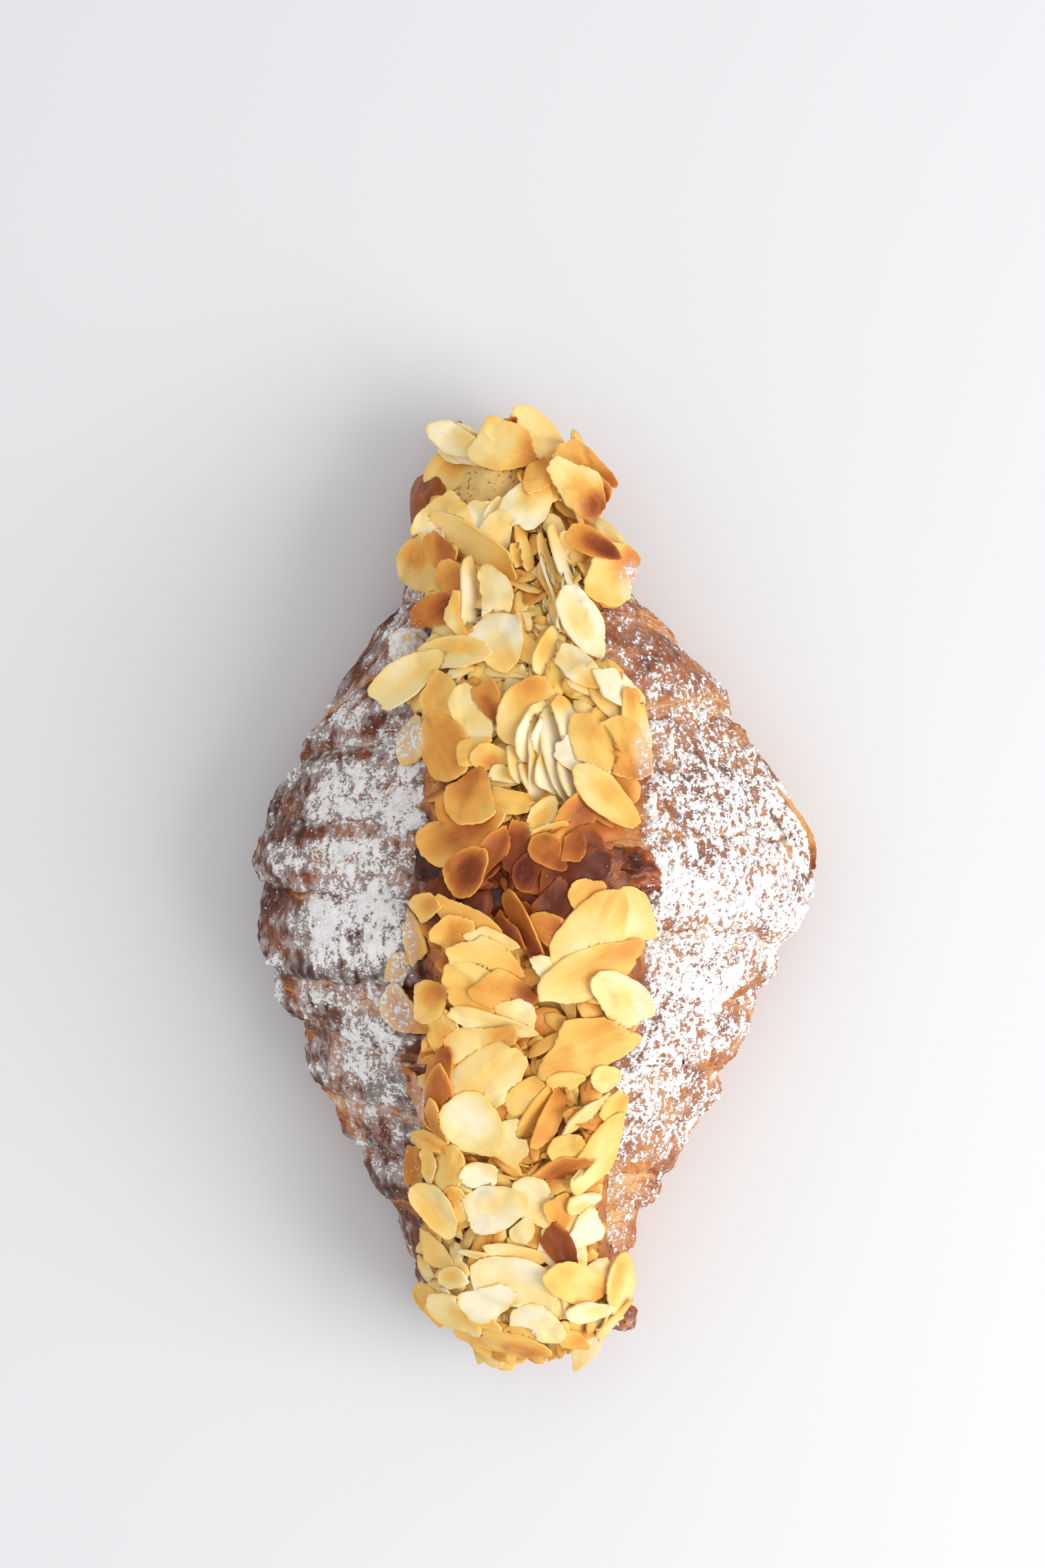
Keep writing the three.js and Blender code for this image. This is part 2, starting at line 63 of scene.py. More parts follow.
# Plan of the pastry: distance along, then its left and right edge
PLAN = np.array([
    [80, -11, 3], [77, -15, 5.5], [72, -18.2, 7.6], [66, -20, 8.8], [59, -21.4, 13.5],
    [52, -24.5, 20], [44, -29.5, 27.5], [34, -36.5, 35.5], [24, -41.8, 41], [12, -48.4, 48.8],
    [4, -49.8, 50.2], [-4, -49.6, 48.4], [-13, -47.4, 43.8], [-23, -42, 40], [-33, -38.4, 34.4],
    [-43, -32.8, 29.2], [-52, -27.6, 23.8], [-60, -23.4, 19.4], [-68, -21.4, 18.6],
    [-74, -18.8, 17.6], [-78, -13.5, 13], [-80, -8, 8]])

# Edges of the wraps: where each lip crosses the left side, the ridge and the right side, and how
# far it stands above the wrap under it
NORTH_LIPS = [(10.5, 11.5, 6, 3.2), (21.5, 28, 29, 2.8), (28, 46, 42, 2.6), (49, 54, 49, 2.2),
              (62, 66, 61, 1.8)]
SOUTH_LIPS = [(4.5, -2, -9, 3.2), (-11, -16, -16, 2.8), (-21, -27, -30, 2.6),
              (-33, -38, -39, 2.4), (-43, -47, -49.5, 2.2), (-53, -56, -55, 1.8),
              (-63, -66, -63, 1.5)]
ROLL_END = 79.4  # where the last wrap ends, towards each end of the roll
RISE_POWER = 2.2  # how quickly a wrap swells out of the lip above it
LIP_ROUND = 0.3  # rounding of the lip itself, share of its step
STEP_SHARE = 0.66  # how much of a lip's step is left once the wraps have baked together
FLANK_STEP = 0.5  # how much more than that a lip stands out on the flanks

GRAIN = 0.34  # spacing of the crust's grid

# ---- numbers that look random, and curves -------------------------------------------------------


def scattered(x, y, z, seed):
    """A number from 0 to 1 for each whole-number place.

    The coordinates and the seed are multiplied by large numbers and folded together by
    exclusive-or and shifts, until no pattern is left.
    """
    mixed = (x * 73856093) ^ (y * 19349663) ^ (z * 83492791) ^ (seed * 26544357)
    mixed = ((mixed ^ (mixed >> 13)) * 1274126177) & 0x7FFFFFFF
    mixed = ((mixed ^ (mixed >> 11)) * 668265263) & 0x7FFFFFFF
    return ((mixed ^ (mixed >> 15)) & 0xFFFFF) / 0xFFFFF


def lumps(points, size, seed):
    """Smooth noise from -1 to 1 at points.

    Each corner of a cell of the given size has a random number, and between corners the eight
    numbers are blended with weights 6t^5 - 15t^4 + 10t^3.
    """
    cells = points / np.asarray(size, float)
    low = np.floor(cells).astype(np.int64)
    t = cells - low
    t = t * t * t * (t * (t * 6 - 15) + 10)
    total = np.zeros(points.shape[:-1])
    for corner in range(8):
        step = ((corner >> 2) & 1, (corner >> 1) & 1, corner & 1)
        weight = 1.0
        for axis in range(3):
            weight = weight * (t[..., axis] if step[axis] else 1 - t[..., axis])
        total += weight * scattered(low[..., 0] + step[0], low[..., 1] + step[1],
                                    low[..., 2] + step[2], seed)
    return 2 * total - 1


def layered(points, size, seed, layers):
    """Noise from -1 to 1 in layers, each half the size and half the strength of the one before."""
    total, strength, scale = 0.0, 0.0, 1.0
    for layer in range(layers):
        total = total + scale * lumps(points, np.asarray(size, float) * scale, seed + layer)
        strength += scale
        scale *= 0.5
    return total / strength


def creases(points, size, seed, sharpness=5):
    """Thin winding lines, 1 on a line and 0 away from it: (1 - |noise|) to a power."""
    return (1 - np.abs(lumps(points, size, seed))) ** sharpness


def smooth(low, high, value):
    """0 below low, 1 above high, and 3t^2 - 2t^3 between."""
    t = np.clip((value - low) / (high - low), 0, 1)
    return t * t * (3 - 2 * t)


def mix(a, b, share):
    """a at share 0 and b at share 1, in proportion between."""
    return a + (b - a) * share


def curve_through(places, values):
    """Smooth curve through rows of places and values.

    Between two rows it is a cubic; its slope at a row is the harmonic mean of the slopes on the
    row's two sides, or level where they differ in sign, so that it never overshoots.
    """
    order = np.argsort(places)
    at = np.asarray(places, float)[order]
    value = np.asarray(values, float)[order]
    run = np.diff(at)
    slope = np.diff(value) / run
    before, after = slope[:-1], slope[1:]
    agree = before * after > 0
    inner = np.where(agree, 2 * before * after / np.where(agree, before + after, 1), 0)
    tangent = np.concatenate([slope[:1], inner, slope[-1:]])

    def curve(place):
        i = np.clip(np.searchsorted(at, place) - 1, 0, len(run) - 1)
        s = np.clip((place - at[i]) / run[i], 0, 1)
        return ((1 + 2 * s) * (1 - s) ** 2 * value[i] + s * (1 - s) ** 2 * run[i] * tangent[i]
                + s * s * (3 - 2 * s) * value[i + 1] - s * s * (1 - s) * run[i] * tangent[i + 1])

    return curve


def spotted(x, y, spots, base):
    """base, moved towards each spot's value inside the spot's soft ellipse, one after another."""
    outside, full = 1.25, 0.6  # of the ellipse's reach
    value = base
    for across, along, reach_x, reach_y, level in spots:
        share = smooth(outside, full, np.hypot((x - across) / reach_x, (y - along) / reach_y))
        value = mix(value, level, share)
    return value


left_edge = curve_through(PLAN[:, 0], PLAN[:, 1])
right_edge = curve_through(PLAN[:, 0], PLAN[:, 2])


def centre_line(y):
    """Middle of the pastry between its left and right edge."""
    return (left_edge(y) + right_edge(y)) / 2


def half_width(y):
    """Half the distance between the pastry's left and right edge."""
    return (right_edge(y) - left_edge(y)) / 2


def ridge_height(y):
    """Height of the ridge: that of the fattest section times the share of its width to a power."""
    return RIDGE_HEIGHT * (half_width(y) / HALF_WIDTH) ** HEIGHT_POWER


def crust_height(x, y):
    """Height of the smooth crust: a shoulder that falls from the ridge to the belly."""
    share = np.clip(np.abs(x - centre_line(y)) / half_width(y), 0, 1)
    shoulder = (1 - share ** SHOULDER[0]) ** SHOULDER[1]
    return ridge_height(y) * (BELLY + (1 - BELLY) * shoulder)


def section_point(y, around, sink):
    """Point of a section of the roll.

    around goes from -1 at the left base edge over the ridge at 0 to +1 at the right one. Above
    the belly the height follows the shoulder's curve, and below it the side tucks in to the
    base. sink moves the point in towards the middle of the section.
    """
    place = np.abs(around)
    wide, ridge = half_width(y), ridge_height(y)
    upper = np.sin(np.pi / 2 * np.clip(place / BELLY_PLACE, 0, 1))
    shoulder = np.clip(1 - upper ** SHOULDER[0], 0, 1) ** SHOULDER[1]
    below = np.clip((place - BELLY_PLACE) / (1 - BELLY_PLACE), 0, 1)
    share = np.where(below > 0, 1 - TUCK * below ** TUCK_POWER, upper)
    height = np.where(below > 0, ridge * BELLY * (1 - below),
                      ridge * (BELLY + (1 - BELLY) * shoulder))
    across = np.sign(around) * share * np.maximum(wide - sink, 1)
    height = height * np.maximum(1 - sink / ridge, 0.5)
    return np.stack([centre_line(y) + across, y + 0 * across, height], axis=-1)


def lip_place(lip, side):
    """Where a lip crosses the section: the parabola through its left, ridge and right places."""
    left, ridge, right = lip[:3]
    return ridge + (right - left) / 2 * side + ((right + left) / 2 - ridge) * side * side


# ---- meshes -------------------------------------------------------------------------------------

pastry_low, pastry_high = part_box("pastry")
SHIFT = np.array([(pastry_low[0] + pastry_high[0]) / 2 - PASTRY_MIDDLE[0] * MM,
                  (pastry_low[1] + pastry_high[1]) / 2 - PASTRY_MIDDLE[1] * MM, 0.0])


def placed(points):
    """Millimetres of the plan to the frame's metres."""
    return points * MM + SHIFT


def grid_faces(rows, columns, round_rows=False):
    """Four-sided faces of a grid whose columns close round, and whose rows do too if asked."""
    r = np.arange(rows if round_rows else rows - 1)[:, None]
    c = np.arange(columns)[None, :]
    r_next = (r + 1) % rows
    c_next = (c + 1) % columns
    corners = [r * columns + c, r * columns + c_next, r_next * columns + c_next,
               r_next * columns + c]
    return np.stack([corner + 0 * (r + c) for corner in corners], axis=-1).reshape(-1, 4)


def cap_faces(row, columns, pole, outward):
    """Three-sided faces from a row of the grid to a pole."""
    c = np.arange(columns)
    here, there = row * columns + c, row * columns + (c + 1) % columns
    order = [here, there] if outward else [there, here]
    return np.stack([*order, np.full(columns, pole)], axis=-1)


def capped(grid, poles=None):
    """Points and faces of a grid whose first and last rows are each closed to a pole.

    The poles are the middles of those rows, unless they are given.
    """
    rows, columns = grid.shape[:2]
    if poles is None:
        poles = [grid[0].mean(axis=0), grid[-1].mean(axis=0)]
    points = np.concatenate([grid.reshape(-1, 3), poles])
    caps = np.concatenate([cap_faces(0, columns, rows * columns, False),
                           cap_faces(rows - 1, columns, rows * columns + 1, True)])
    return points, grid_faces(rows, columns), caps


def split(quads):
    """Each four-sided face as two triangles."""
    return np.concatenate([quads[:, [0, 1, 2]], quads[:, [0, 2, 3]]])


def face_sums(points, triangles):
    """Normal of each triangle, by its area, and six times the volume that they enclose."""
    corners = points[triangles]
    normal = np.cross(corners[:, 1] - corners[:, 0], corners[:, 2] - corners[:, 0])
    return normal, np.einsum("ij,ij->i", normal, corners[:, 0]).sum()


def normals(points, quads, triangles):
    """Unit normal at each point: the sum of the normals of the faces round it."""
    both = np.concatenate([split(quads), triangles])
    normal, volume = face_sums(points, both)
    total = np.stack([np.bincount(both.ravel(), np.repeat(normal[:, axis], 3), len(points))
                      for axis in range(3)], axis=-1)
    length = np.linalg.norm(total, axis=-1, keepdims=True)
    return np.sign(volume) * total / np.maximum(length, 1e-9)


NO_TRIANGLES = np.zeros((0, 3), int)
NO_QUADS = np.zeros((0, 4), int)


def make_piece(name, points, quads, triangles, material, marks=None, flat=None):
    """Mesh object with its place in its mesh; marks are named numbers at its points.

    flat holds a pair of pattern coordinates at each point, kept as the piece's UV map. The faces
    are turned round if the volume that they enclose comes out negative.
    """
    both = np.concatenate([split(quads), triangles])
    if face_sums(points, both)[1] < 0:
        quads, triangles = quads[:, ::-1], triangles[:, ::-1]
    mesh = bpy.data.meshes.new(name)
    mesh.vertices.add(len(points))
    mesh.vertices.foreach_set("co", placed(points).astype(np.float32).ravel())
    loops = np.concatenate([quads.ravel(), triangles.ravel()]).astype(np.int32)
    starts = np.concatenate([np.arange(len(quads)) * 4,
                             len(quads) * 4 + np.arange(len(triangles)) * 3]).astype(np.int32)
    mesh.loops.add(len(loops))
    mesh.loops.foreach_set("vertex_index", loops)
    mesh.polygons.add(len(starts))
    mesh.polygons.foreach_set("loop_start", starts)
    mesh.update(calc_edges=True)
    mesh.polygons.foreach_set("use_smooth", np.ones(len(starts), bool))
    for label, values in (marks or {}).items():
        layer = mesh.attributes.new(label, "FLOAT", "POINT")
        layer.data.foreach_set("value", np.asarray(values, np.float32).ravel())
    if flat is not None:
        layer = mesh.uv_layers.new(name="UVMap")
        layer.data.foreach_set("uv", np.asarray(flat, np.float32)[loops].ravel())
    mesh.materials.append(material)
    piece = bpy.data.objects.new(name, mesh)
    bpy.context.scene.collection.objects.link(piece)
    return piece


def belongs(piece, node):
    """Ride on the root body and stand for the CAD node, which is hidden."""
    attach(piece, "root")
    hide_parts(node)


# ---- materials ----------------------------------------------------------------------------------


def paint(red, green, blue):
    """Colour from its 0 to 255 screen values to the linear values that shaders take."""
    def linear(value):
        share = value / 255
        return share / 12.92 if share <= 0.04045 else ((share + 0.055) / 1.055) ** 2.4
    return (linear(red), linear(green), linear(blue), 1.0)


def new_material(name, roughness):
    """A material with its shader, its node tree and the place on the object that patterns read."""
    material = bpy.data.materials.new(name)
    material.use_nodes = True
    shader = material.node_tree.nodes["Principled BSDF"]
    shader.inputs["Roughness"].default_value = roughness
    tree = material.node_tree
    return material, tree, shader, add(tree, "ShaderNodeTexCoord").outputs["Object"]


def plug(tree, node, values):
    """Gives a node's sockets their values, or a link where the value is itself a socket."""
    for key, value in values.items():
        if isinstance(value, bpy.types.NodeSocket):
            tree.links.new(value, node.inputs[key])
        else:
            node.inputs[key].default_value = value


def add(tree, kind, values=None, **settings):
    """New shader node with its settings and its sockets' values."""
    node = tree.nodes.new(kind)
    for key, setting in settings.items():
        setattr(node, key, setting)
    plug(tree, node, values or {})
    return node


def grain(tree, place, size, detail, roughness=0.5):
    """Fine noise, 0 to 1, whose lumps are about size millimetres across."""
    noise = add(tree, "ShaderNodeTexNoise",
                {"Vector": place, "Scale": 0.6 / (size * MM), "Detail": detail,
                 "Roughness": roughness})
    return noise.outputs["Fac"]


def streaks(tree, scale, detail, roughness):
    """Noise in streaks, 0 to 1: the piece's pattern coordinates, scaled unevenly."""
    strip = add(tree, "ShaderNodeMapping",
                {"Vector": add(tree, "ShaderNodeUVMap").outputs["UV"], "Scale": scale})
    noise = add(tree, "ShaderNodeTexNoise",
                {"Vector": strip.outputs["Vector"], "Scale": 1.0, "Detail": detail,
                 "Roughness": roughness})
    return noise.outputs["Fac"]


def worked(tree, operation, a, b):
    """Two values put together by one operation of arithmetic."""
    return add(tree, "ShaderNodeMath", {0: a, 1: b}, operation=operation).outputs[0]


def times(tree, a, b):
    """Product of two values."""
    return worked(tree, "MULTIPLY", a, b)


def plus(tree, a, *others):
    """Sum of two or more values."""
    for other in others:
        a = worked(tree, "ADD", a, other)
    return a


def larger(tree, a, b):
    """The larger of two values."""
    return worked(tree, "MAXIMUM", a, b)


def centred(tree, noise, strength):
    """Noise from 0 to 1, moved to lie evenly round 0 and made as strong as asked."""
    return times(tree, worked(tree, "SUBTRACT", noise, 0.5), strength)


def between(tree, value, low, high, to_low=0.0, to_high=1.0):
    """Smooth step of a value from low to high."""
    node = add(tree, "ShaderNodeMapRange",
               {"Value": value, "From Min": low, "From Max": high, "To Min": to_low,
                "To Max": to_high}, interpolation_type="SMOOTHSTEP")
    return node.outputs["Result"]


def colours(tree, factor, stops):
    """Colour ramp through (place, colour) stops."""
    node = add(tree, "ShaderNodeValToRGB", {"Fac": factor})
    points = node.color_ramp.elements
    points[0].position, points[0].color = stops[0]
    points[1].position, points[1].color = stops[-1]
    for place, colour in stops[1:-1]:
        points.new(place).color = colour
    return node.outputs["Color"]


def blend(tree, factor, a, b):
    """Mix of two colours by a factor."""
    factor_at, a_at, b_at, result_at = 0, 6, 7, 2  # the node's sockets for colours
    node = add(tree, "ShaderNodeMix", data_type="RGBA")
    plug(tree, node, {factor_at: factor, a_at: a, b_at: b})
    return node.outputs[result_at]


def mark(tree, name):
    """One of the piece's own marks, the named numbers at its points."""
    return add(tree, "ShaderNodeAttribute", attribute_name=name).outputs["Fac"]


def bumps(tree, shader, height, depth):
    """Fine relief of the surface, as deep as asked in millimetres."""
    node = add(tree, "ShaderNodeBump",
               {"Height": height, "Distance": depth * MM, "Strength": 1.0})
    tree.links.new(node.outputs["Normal"], shader.inputs["Normal"])


def gloss(shader, specular, coat, coat_roughness):
    """Sets how much the surface and the thin coat on it shine."""
    shader.inputs["Specular IOR Level"].default_value = specular
    shader.inputs["Coat Weight"].default_value = coat
    shader.inputs["Coat Roughness"].default_value = coat_roughness


SUGAR_WHITE = paint(250, 248, 246)
SUGAR_SHADE = paint(236, 231, 227)
# Darker brown that the cream's pores are blended towards: painted shade in the hollows.
PAINTED_PORE_SHADE = paint(140, 96, 44)
# Colours from barely baked (0) to burnt (1)
CRUST_STOPS = [
    (0.0, paint(228, 176, 108)), (0.25, paint(208, 138, 70)), (0.5, paint(173, 99, 47)),
    (0.75, paint(116, 57, 27)), (1.0, paint(70, 34, 19))]
ALMOND_STOPS = [
    (0.0, paint(251, 236, 204)), (0.14, paint(251, 221, 152)), (0.3, paint(246, 198, 104)),
    (0.45, paint(230, 161, 72)), (0.62, paint(193, 112, 48)), (0.8, paint(144, 70, 28)),
    (1.0, paint(96, 36, 10))]
CREAM_STOPS = [
    (0.0, paint(244, 208, 132)), (0.25, paint(230, 182, 98)), (0.45, paint(214, 146, 66)),
    (0.65, paint(186, 104, 42)), (0.82, paint(124, 58, 24)), (1.0, paint(58, 26, 16))]
CARAMEL_STOPS = [
    (0.0, paint(208, 128, 52)), (0.4, paint(154, 72, 20)), (0.7, paint(92, 34, 8)),
    (1.0, paint(44, 14, 4))]
SUGAR_ROUGH = 0.95
ALMOND_GLOW_RADIUS = (1.0, 0.8, 0.6)
ALMOND_GLOW_DEPTH = 0.7  # how deep light goes into a flake, in millimetres


def sugared(tree, shader, place, bare, bare_rough):
    """Icing sugar over a bare finish, white where the piece's sugar mark passes a half.

    Fine noise breaks up the mark's edge. The dust mark leaves separate specks beyond it, and the
    veil mark a thin grey bloom where the sugar mark is low.
    """
    edge = centred(tree, grain(tree, place, 0.5, 5.0, 0.74), 2.6)
    cover = between(tree, plus(tree, mark(tree, "sugar"), edge), 0.45, 0.54)
    speck = plus(tree, grain(tree, place, 0.32, 1.0), times(tree, mark(tree, "dust"), 0.3))
    dusted = between(tree, speck, 0.7, 0.8, 0.0, 0.85)
    bloom = times(tree, mark(tree, "veil"), grain(tree, place, 0.6, 3.0, 0.7))
    thin = times(tree, between(tree, mark(tree, "sugar"), 0.0, 0.42), bloom)
    white = larger(tree, larger(tree, cover, dusted), thin)
    rough = between(tree, white, 0.0, 0.6, bare_rough, SUGAR_ROUGH)
    tree.links.new(blend(tree, white, bare, SUGAR_WHITE), shader.inputs["Base Color"])
    tree.links.new(rough, shader.inputs["Roughness"])
    return white


def crust_material():
    """Egg-washed crust: brown by its toast mark, striped on the bands, and sugared."""
    material, tree, shader, place = new_material("baked_crust", 0.45)
    blotch = centred(tree, grain(tree, place, 2.6, 6.0, 0.68), 0.7)
    stripes = centred(tree, streaks(tree, (0.07, 1.9, 1.0), 3.0, 0.6), 1.7)
    striped = times(tree, mark(tree, "band"), stripes)
    bare = colours(tree, plus(tree, mark(tree, "toast"), blotch, striped), CRUST_STOPS)
    white = sugared(tree, shader, place, bare, 0.42)
    fine = plus(tree, grain(tree, place, 0.5, 3.0), times(tree, striped, 0.6))
    bumps(tree, shader, plus(tree, times(tree, white, 0.35), fine), 0.28)
    gloss(shader, 0.26, 0.05, 0.3)
    return material


def sugar_material():
    """Icing sugar: white, matt and powdery."""
    material, tree, shader, place = new_material("icing_sugar", SUGAR_ROUGH)
    fine = grain(tree, place, 0.25, 2.0)
    tree.links.new(colours(tree, fine, [(0.3, SUGAR_SHADE), (0.6, SUGAR_WHITE)]),
                   shader.inputs["Base Color"])
    bumps(tree, shader, fine, 0.12)
    return material


def almond_material():
    """Flaked almond: ivory to dark brown by its toast mark, streaked along each flake."""
    material, tree, shader, place = new_material("flaked_almond", 0.42)
    streaked = streaks(tree, (0.16, 1.1, 1.0), 4.0, 0.55)
    blotch = grain(tree, place, 1.6, 3.0, 0.55)
    change = plus(tree, centred(tree, streaked, 0.14), centred(tree, blotch, 0.14))
    bare = colours(tree, plus(tree, mark(tree, "toast"), change), ALMOND_STOPS)
    white = sugared(tree, shader, place, bare, 0.4)
    bumps(tree, shader, plus(tree, times(tree, streaked, 0.7), times(tree, white, 0.5)), 0.12)
    gloss(shader, 0.2, 0.04, 0.25)
    shader.inputs["Subsurface Weight"].default_value = 0.3
    shader.inputs["Subsurface Radius"].default_value = ALMOND_GLOW_RADIUS
    shader.inputs["Subsurface Scale"].default_value = ALMOND_GLOW_DEPTH * MM
    return material


def cream_material():
    """Baked almond cream: porous, pale to caramel and burnt by its toast mark, with painted shade in
    its pores.
    """
    material, tree, shader, place = new_material("baked_almond_cream", 0.6)
    blotch = centred(tree, grain(tree, place, 1.8, 4.0, 0.6), 0.5)
    toast = plus(tree, mark(tree, "toast"), blotch)
    hollows = plus(tree, grain(tree, place, 0.5, 1.5, 0.6),
                   times(tree, grain(tree, place, 2.4, 1.0), 0.35))
    pores = between(tree, hollows, 0.81, 0.89)
    # The pores are blended halfway to a darker brown, which is painted shade in the hollows.
    bare = blend(tree, times(tree, pores, 0.5), colours(tree, toast, CREAM_STOPS), PAINTED_PORE_SHADE)
    bare_rough = between(tree, toast, 0.5, 0.75, 0.6, 0.24)
    white = sugared(tree, shader, place, bare, bare_rough)
    raised = plus(tree, grain(tree, place, 0.7, 4.0), times(tree, white, 0.3))
    bumps(tree, shader, worked(tree, "SUBTRACT", raised, times(tree, pores, 0.8)), 0.4)
    gloss(shader, 0.4, 0.1, 0.25)
    return material


def caramel_material():
    """Dark syrup that boiled out and set: clear brown, smooth and glossy."""
    material, tree, shader, place = new_material("set_caramel", 0.16)
    depth = plus(tree, mark(tree, "toast"), centred(tree, grain(tree, place, 1.4, 3.0), 0.9))
    tree.links.new(colours(tree, depth, CARAMEL_STOPS), shader.inputs["Base Color"])
    bumps(tree, shader, grain(tree, place, 0.9, 2.0), 0.3)
    gloss(shader, 0.3, 0.1, 0.06)
    return material


crust = crust_material()
sugar = sugar_material()
almond = almond_material()
cream = cream_material()
caramel = caramel_material()

# ---- icing sugar: where it lies -----------------------------------------------------------------

# Patches on the left side: across, along, reach across, reach along, and how well covered
LEFT_PATCHES = np.array([
    [-31.9, 32, 3, 3.6, 0.9], [-36, 30, 8, 8, 0.34], [-31.5, 18, 9.5, 6.2, 0.8],
    [-24, 28, 4, 3.4, 0.62], [-21.5, 24.5, 4, 6, 0.72], [-21.5, 16, 5, 6.2, 1.05],
    [-32.5, 7, 15, 3.4, 0.84], [-29.5, -4.6, 10.6, 8.4, 1.05], [-22, -6, 4.6, 8, 0.9],
    [-29, -17.5, 11.5, 2.6, 0.62], [-28.5, -26.5, 7.2, 6.8, 0.88], [-21.5, -22, 3.6, 8, 0.6],
    [-27, -42, 6.5, 8, 0.42], [-24, -34, 6, 5, 0.45], [-45, -15, 2.2, 6, 0.62],
    [-42, 18, 4, 6, 0.36], [-27, 44, 6, 8, 0.36], [-22, 50, 4, 6, 0.4]])

# Share that is covered on the right side, along the roll
right_cover = curve_through(
    [-80, -68, -60, -52, -45, -36, -27, -20, -8, 2, 12, 20, 30, 40, 50, 56, 62],
    [0.2, 0.44, 0.38, 0.42, 0.48, 0.6, 0.64, 0.73, 0.74, 0.73, 0.62, 0.58, 0.46, 0.34, 0.3, 0.2,
     0])

# Where the sugar starts beside the almonds, on the left and on the right
left_start = curve_through(
    [-60, -45, -34, -26, -20, -14, -8, -3, 2, 6, 12, 22, 30, 44, 60],
    [-18, -18.5, -20, -21.6, -22, -22.6, -21.4, -20.9, -19.8, -18.8, -18.2, -18.2, -18.6, -19, -19])
right_start = curve_through([-80, -60, -50, -30, -20, 34, 44, 60],
                            [12.4, 11.6, 12.5, 14.4, 19.2, 19.6, 12.5, 12])
LEFT_FILM = 0.2  # share that the thin film between the left side's patches covers

# The sugar's speckle: size of its noise, seed, and strength on the right and on the left side
SPECKLE = [((6.2, 2.2, 4.2), 11, 0.19, 0.42), ((1.2, 2.2, 1.5), 12, 0.18, 0.38),
           ((0.65, 1.2, 0.8), 13, 0.46, 0.32)]
SPECKLE_STRENGTH = 0.72  # how far the speckle strays from a half
STEEP_WANDER = 0.42  # how unevenly the sugar stops where the side gets steep
LEFT_LESS = 0.86  # share of the plan's cover that the left side keeps
EDGE_SHARPNESS = 0.9  # how quickly the mark changes with the share


def icing_plan(x, y):
    """Share of the surface that the icing sugar covers, seen from above.

    On the left, soft ellipses are joined by taking the largest: an ellipse is full inside and
    fades out over its rim. They end at a ragged line, three waves beside the almonds. On the
    right, a smooth share along the roll starts at the edge of the almonds.
    """
    across = (x[..., None] - LEFT_PATCHES[:, 0]) / LEFT_PATCHES[:, 2]
    along = (y[..., None] - LEFT_PATCHES[:, 1]) / LEFT_PATCHES[:, 3]
    inside = 1 - smooth(0.5, 1.4, np.sqrt(np.abs(across) ** 2.4 + np.abs(along) ** 2.4))
    left = np.max(inside * LEFT_PATCHES[:, 4], axis=-1)
    left = np.maximum(left, LEFT_FILM * smooth(70, 40, y) * smooth(-64, -50, y))
    ragged = 0.7 * np.sin(1.3 * y) + 0.6 * np.sin(2.9 * y + 1) + 0.4 * np.sin(6.1 * y)
    left = left * smooth(1, -1, x + ragged - left_start(y))
    right = right_cover(y) * smooth(-1.2, 1.2, x - right_start(y))
    return np.where(x < 0, left, right)


def icing(points, facing_up, kept):
    """Sugar mark at points, a half at the edge of the sugar, and the share that is covered.

    The mark is the share less a speckle, noises of three sizes that are drawn out along the
    roll. Steep places hold less, by facing_up, and so do the places that kept lowers, among them
    furrows and lip creases whose bare dark crust is painted shade.
    """
    steep = smooth(-0.15, 0.62, facing_up + STEEP_WANDER * lumps(points, (8, 5, 6), 14))
    share = icing_plan(points[..., 0], points[..., 1]) * steep * kept
    lefty = smooth(8, -8, points[..., 0])
    speckle = sum(mix(right, left, lefty) * lumps(points, size, seed)
                  for size, seed, right, left in SPECKLE)
    speckle = 0.5 + SPECKLE_STRENGTH * speckle
    marked = 0.5 + EDGE_SHARPNESS * (share * mix(1, LEFT_LESS, lefty) - speckle)
    return np.clip(marked, 0, 1), share


# ---- the wraps of the roll ----------------------------------------------------------------------

TUCKED = [(-4.0, 2.6, 1.8), (-2.2, 1.5, 1.1), (-0.8, 0.5, 0.4)]  # mm back, deeper, and lifted
LIP_TURN = np.radians(np.linspace(20, 195, 9))
LIP_RADIUS = 0.34  # of the lip's step
RETURN_SINK = 6.5  # how deep a wrap's hidden underside lies
RETURN_LIFT = 2.4  # how far its ends are held off the table
RETURN_INSET = 3.0  # how far back from a lip it ends
RETURN_REACH = 4.0  # how far it reaches under the wrap before it, where it starts without a lip
RETURN_DEEPER = (5.0, 3.2)  # how much deeper it lies than the inner and the outer lip's step
TIP_CAP = 2.2  # how far each end rounds out past its last row
TIP_TURN = np.radians([12, 26, 40, 54, 66, 77, 85])
TIP_BULGE = 0.15  # how far the pole itself stands out past that rounding
TIP_POLE = 0.42  # height of an end's middle, share of the ridge's
LENGTH_SAMPLES = 1500  # points that measure the length round a section
BASE_SPACING = 1.6  # spacing of the columns that go back across the base
TERRACES = 3.5  # how many terraces the flaked layers make between the noise's 0 and 1
CLIFF = 0.14  # share of a terrace that the cliff beside it takes up


def lip_rows(t, step):
    """Rows that curl round a lip: a part circle outwards, down and back under."""
    radius = LIP_RADIUS * step
    return [(t, radius * math.sin(turn), LIP_ROUND * step + radius * (1 - math.cos(turn)), 0, 0.6)
            for turn in LIP_TURN]


def lip_turns(side):
    """Place on a circle for each place round the roll, so that a lip's noise has no seam."""
    return np.stack([np.cos(np.pi * side), np.sin(np.pi * side), 0 * side], axis=-1) * 12


def lip_waver(lip, side):
    """How far a lip strays along the roll, wide bends and small tears, by its own place."""
    seed = int(abs(lip[1]) * 7) + 31
    return (0.9 * lumps(lip_turns(side), 5.5, seed) + 0.4 * lumps(lip_turns(side), 1.5, seed + 1)
            + 0.22 * lumps(lip_turns(side), 0.5, seed + 2))


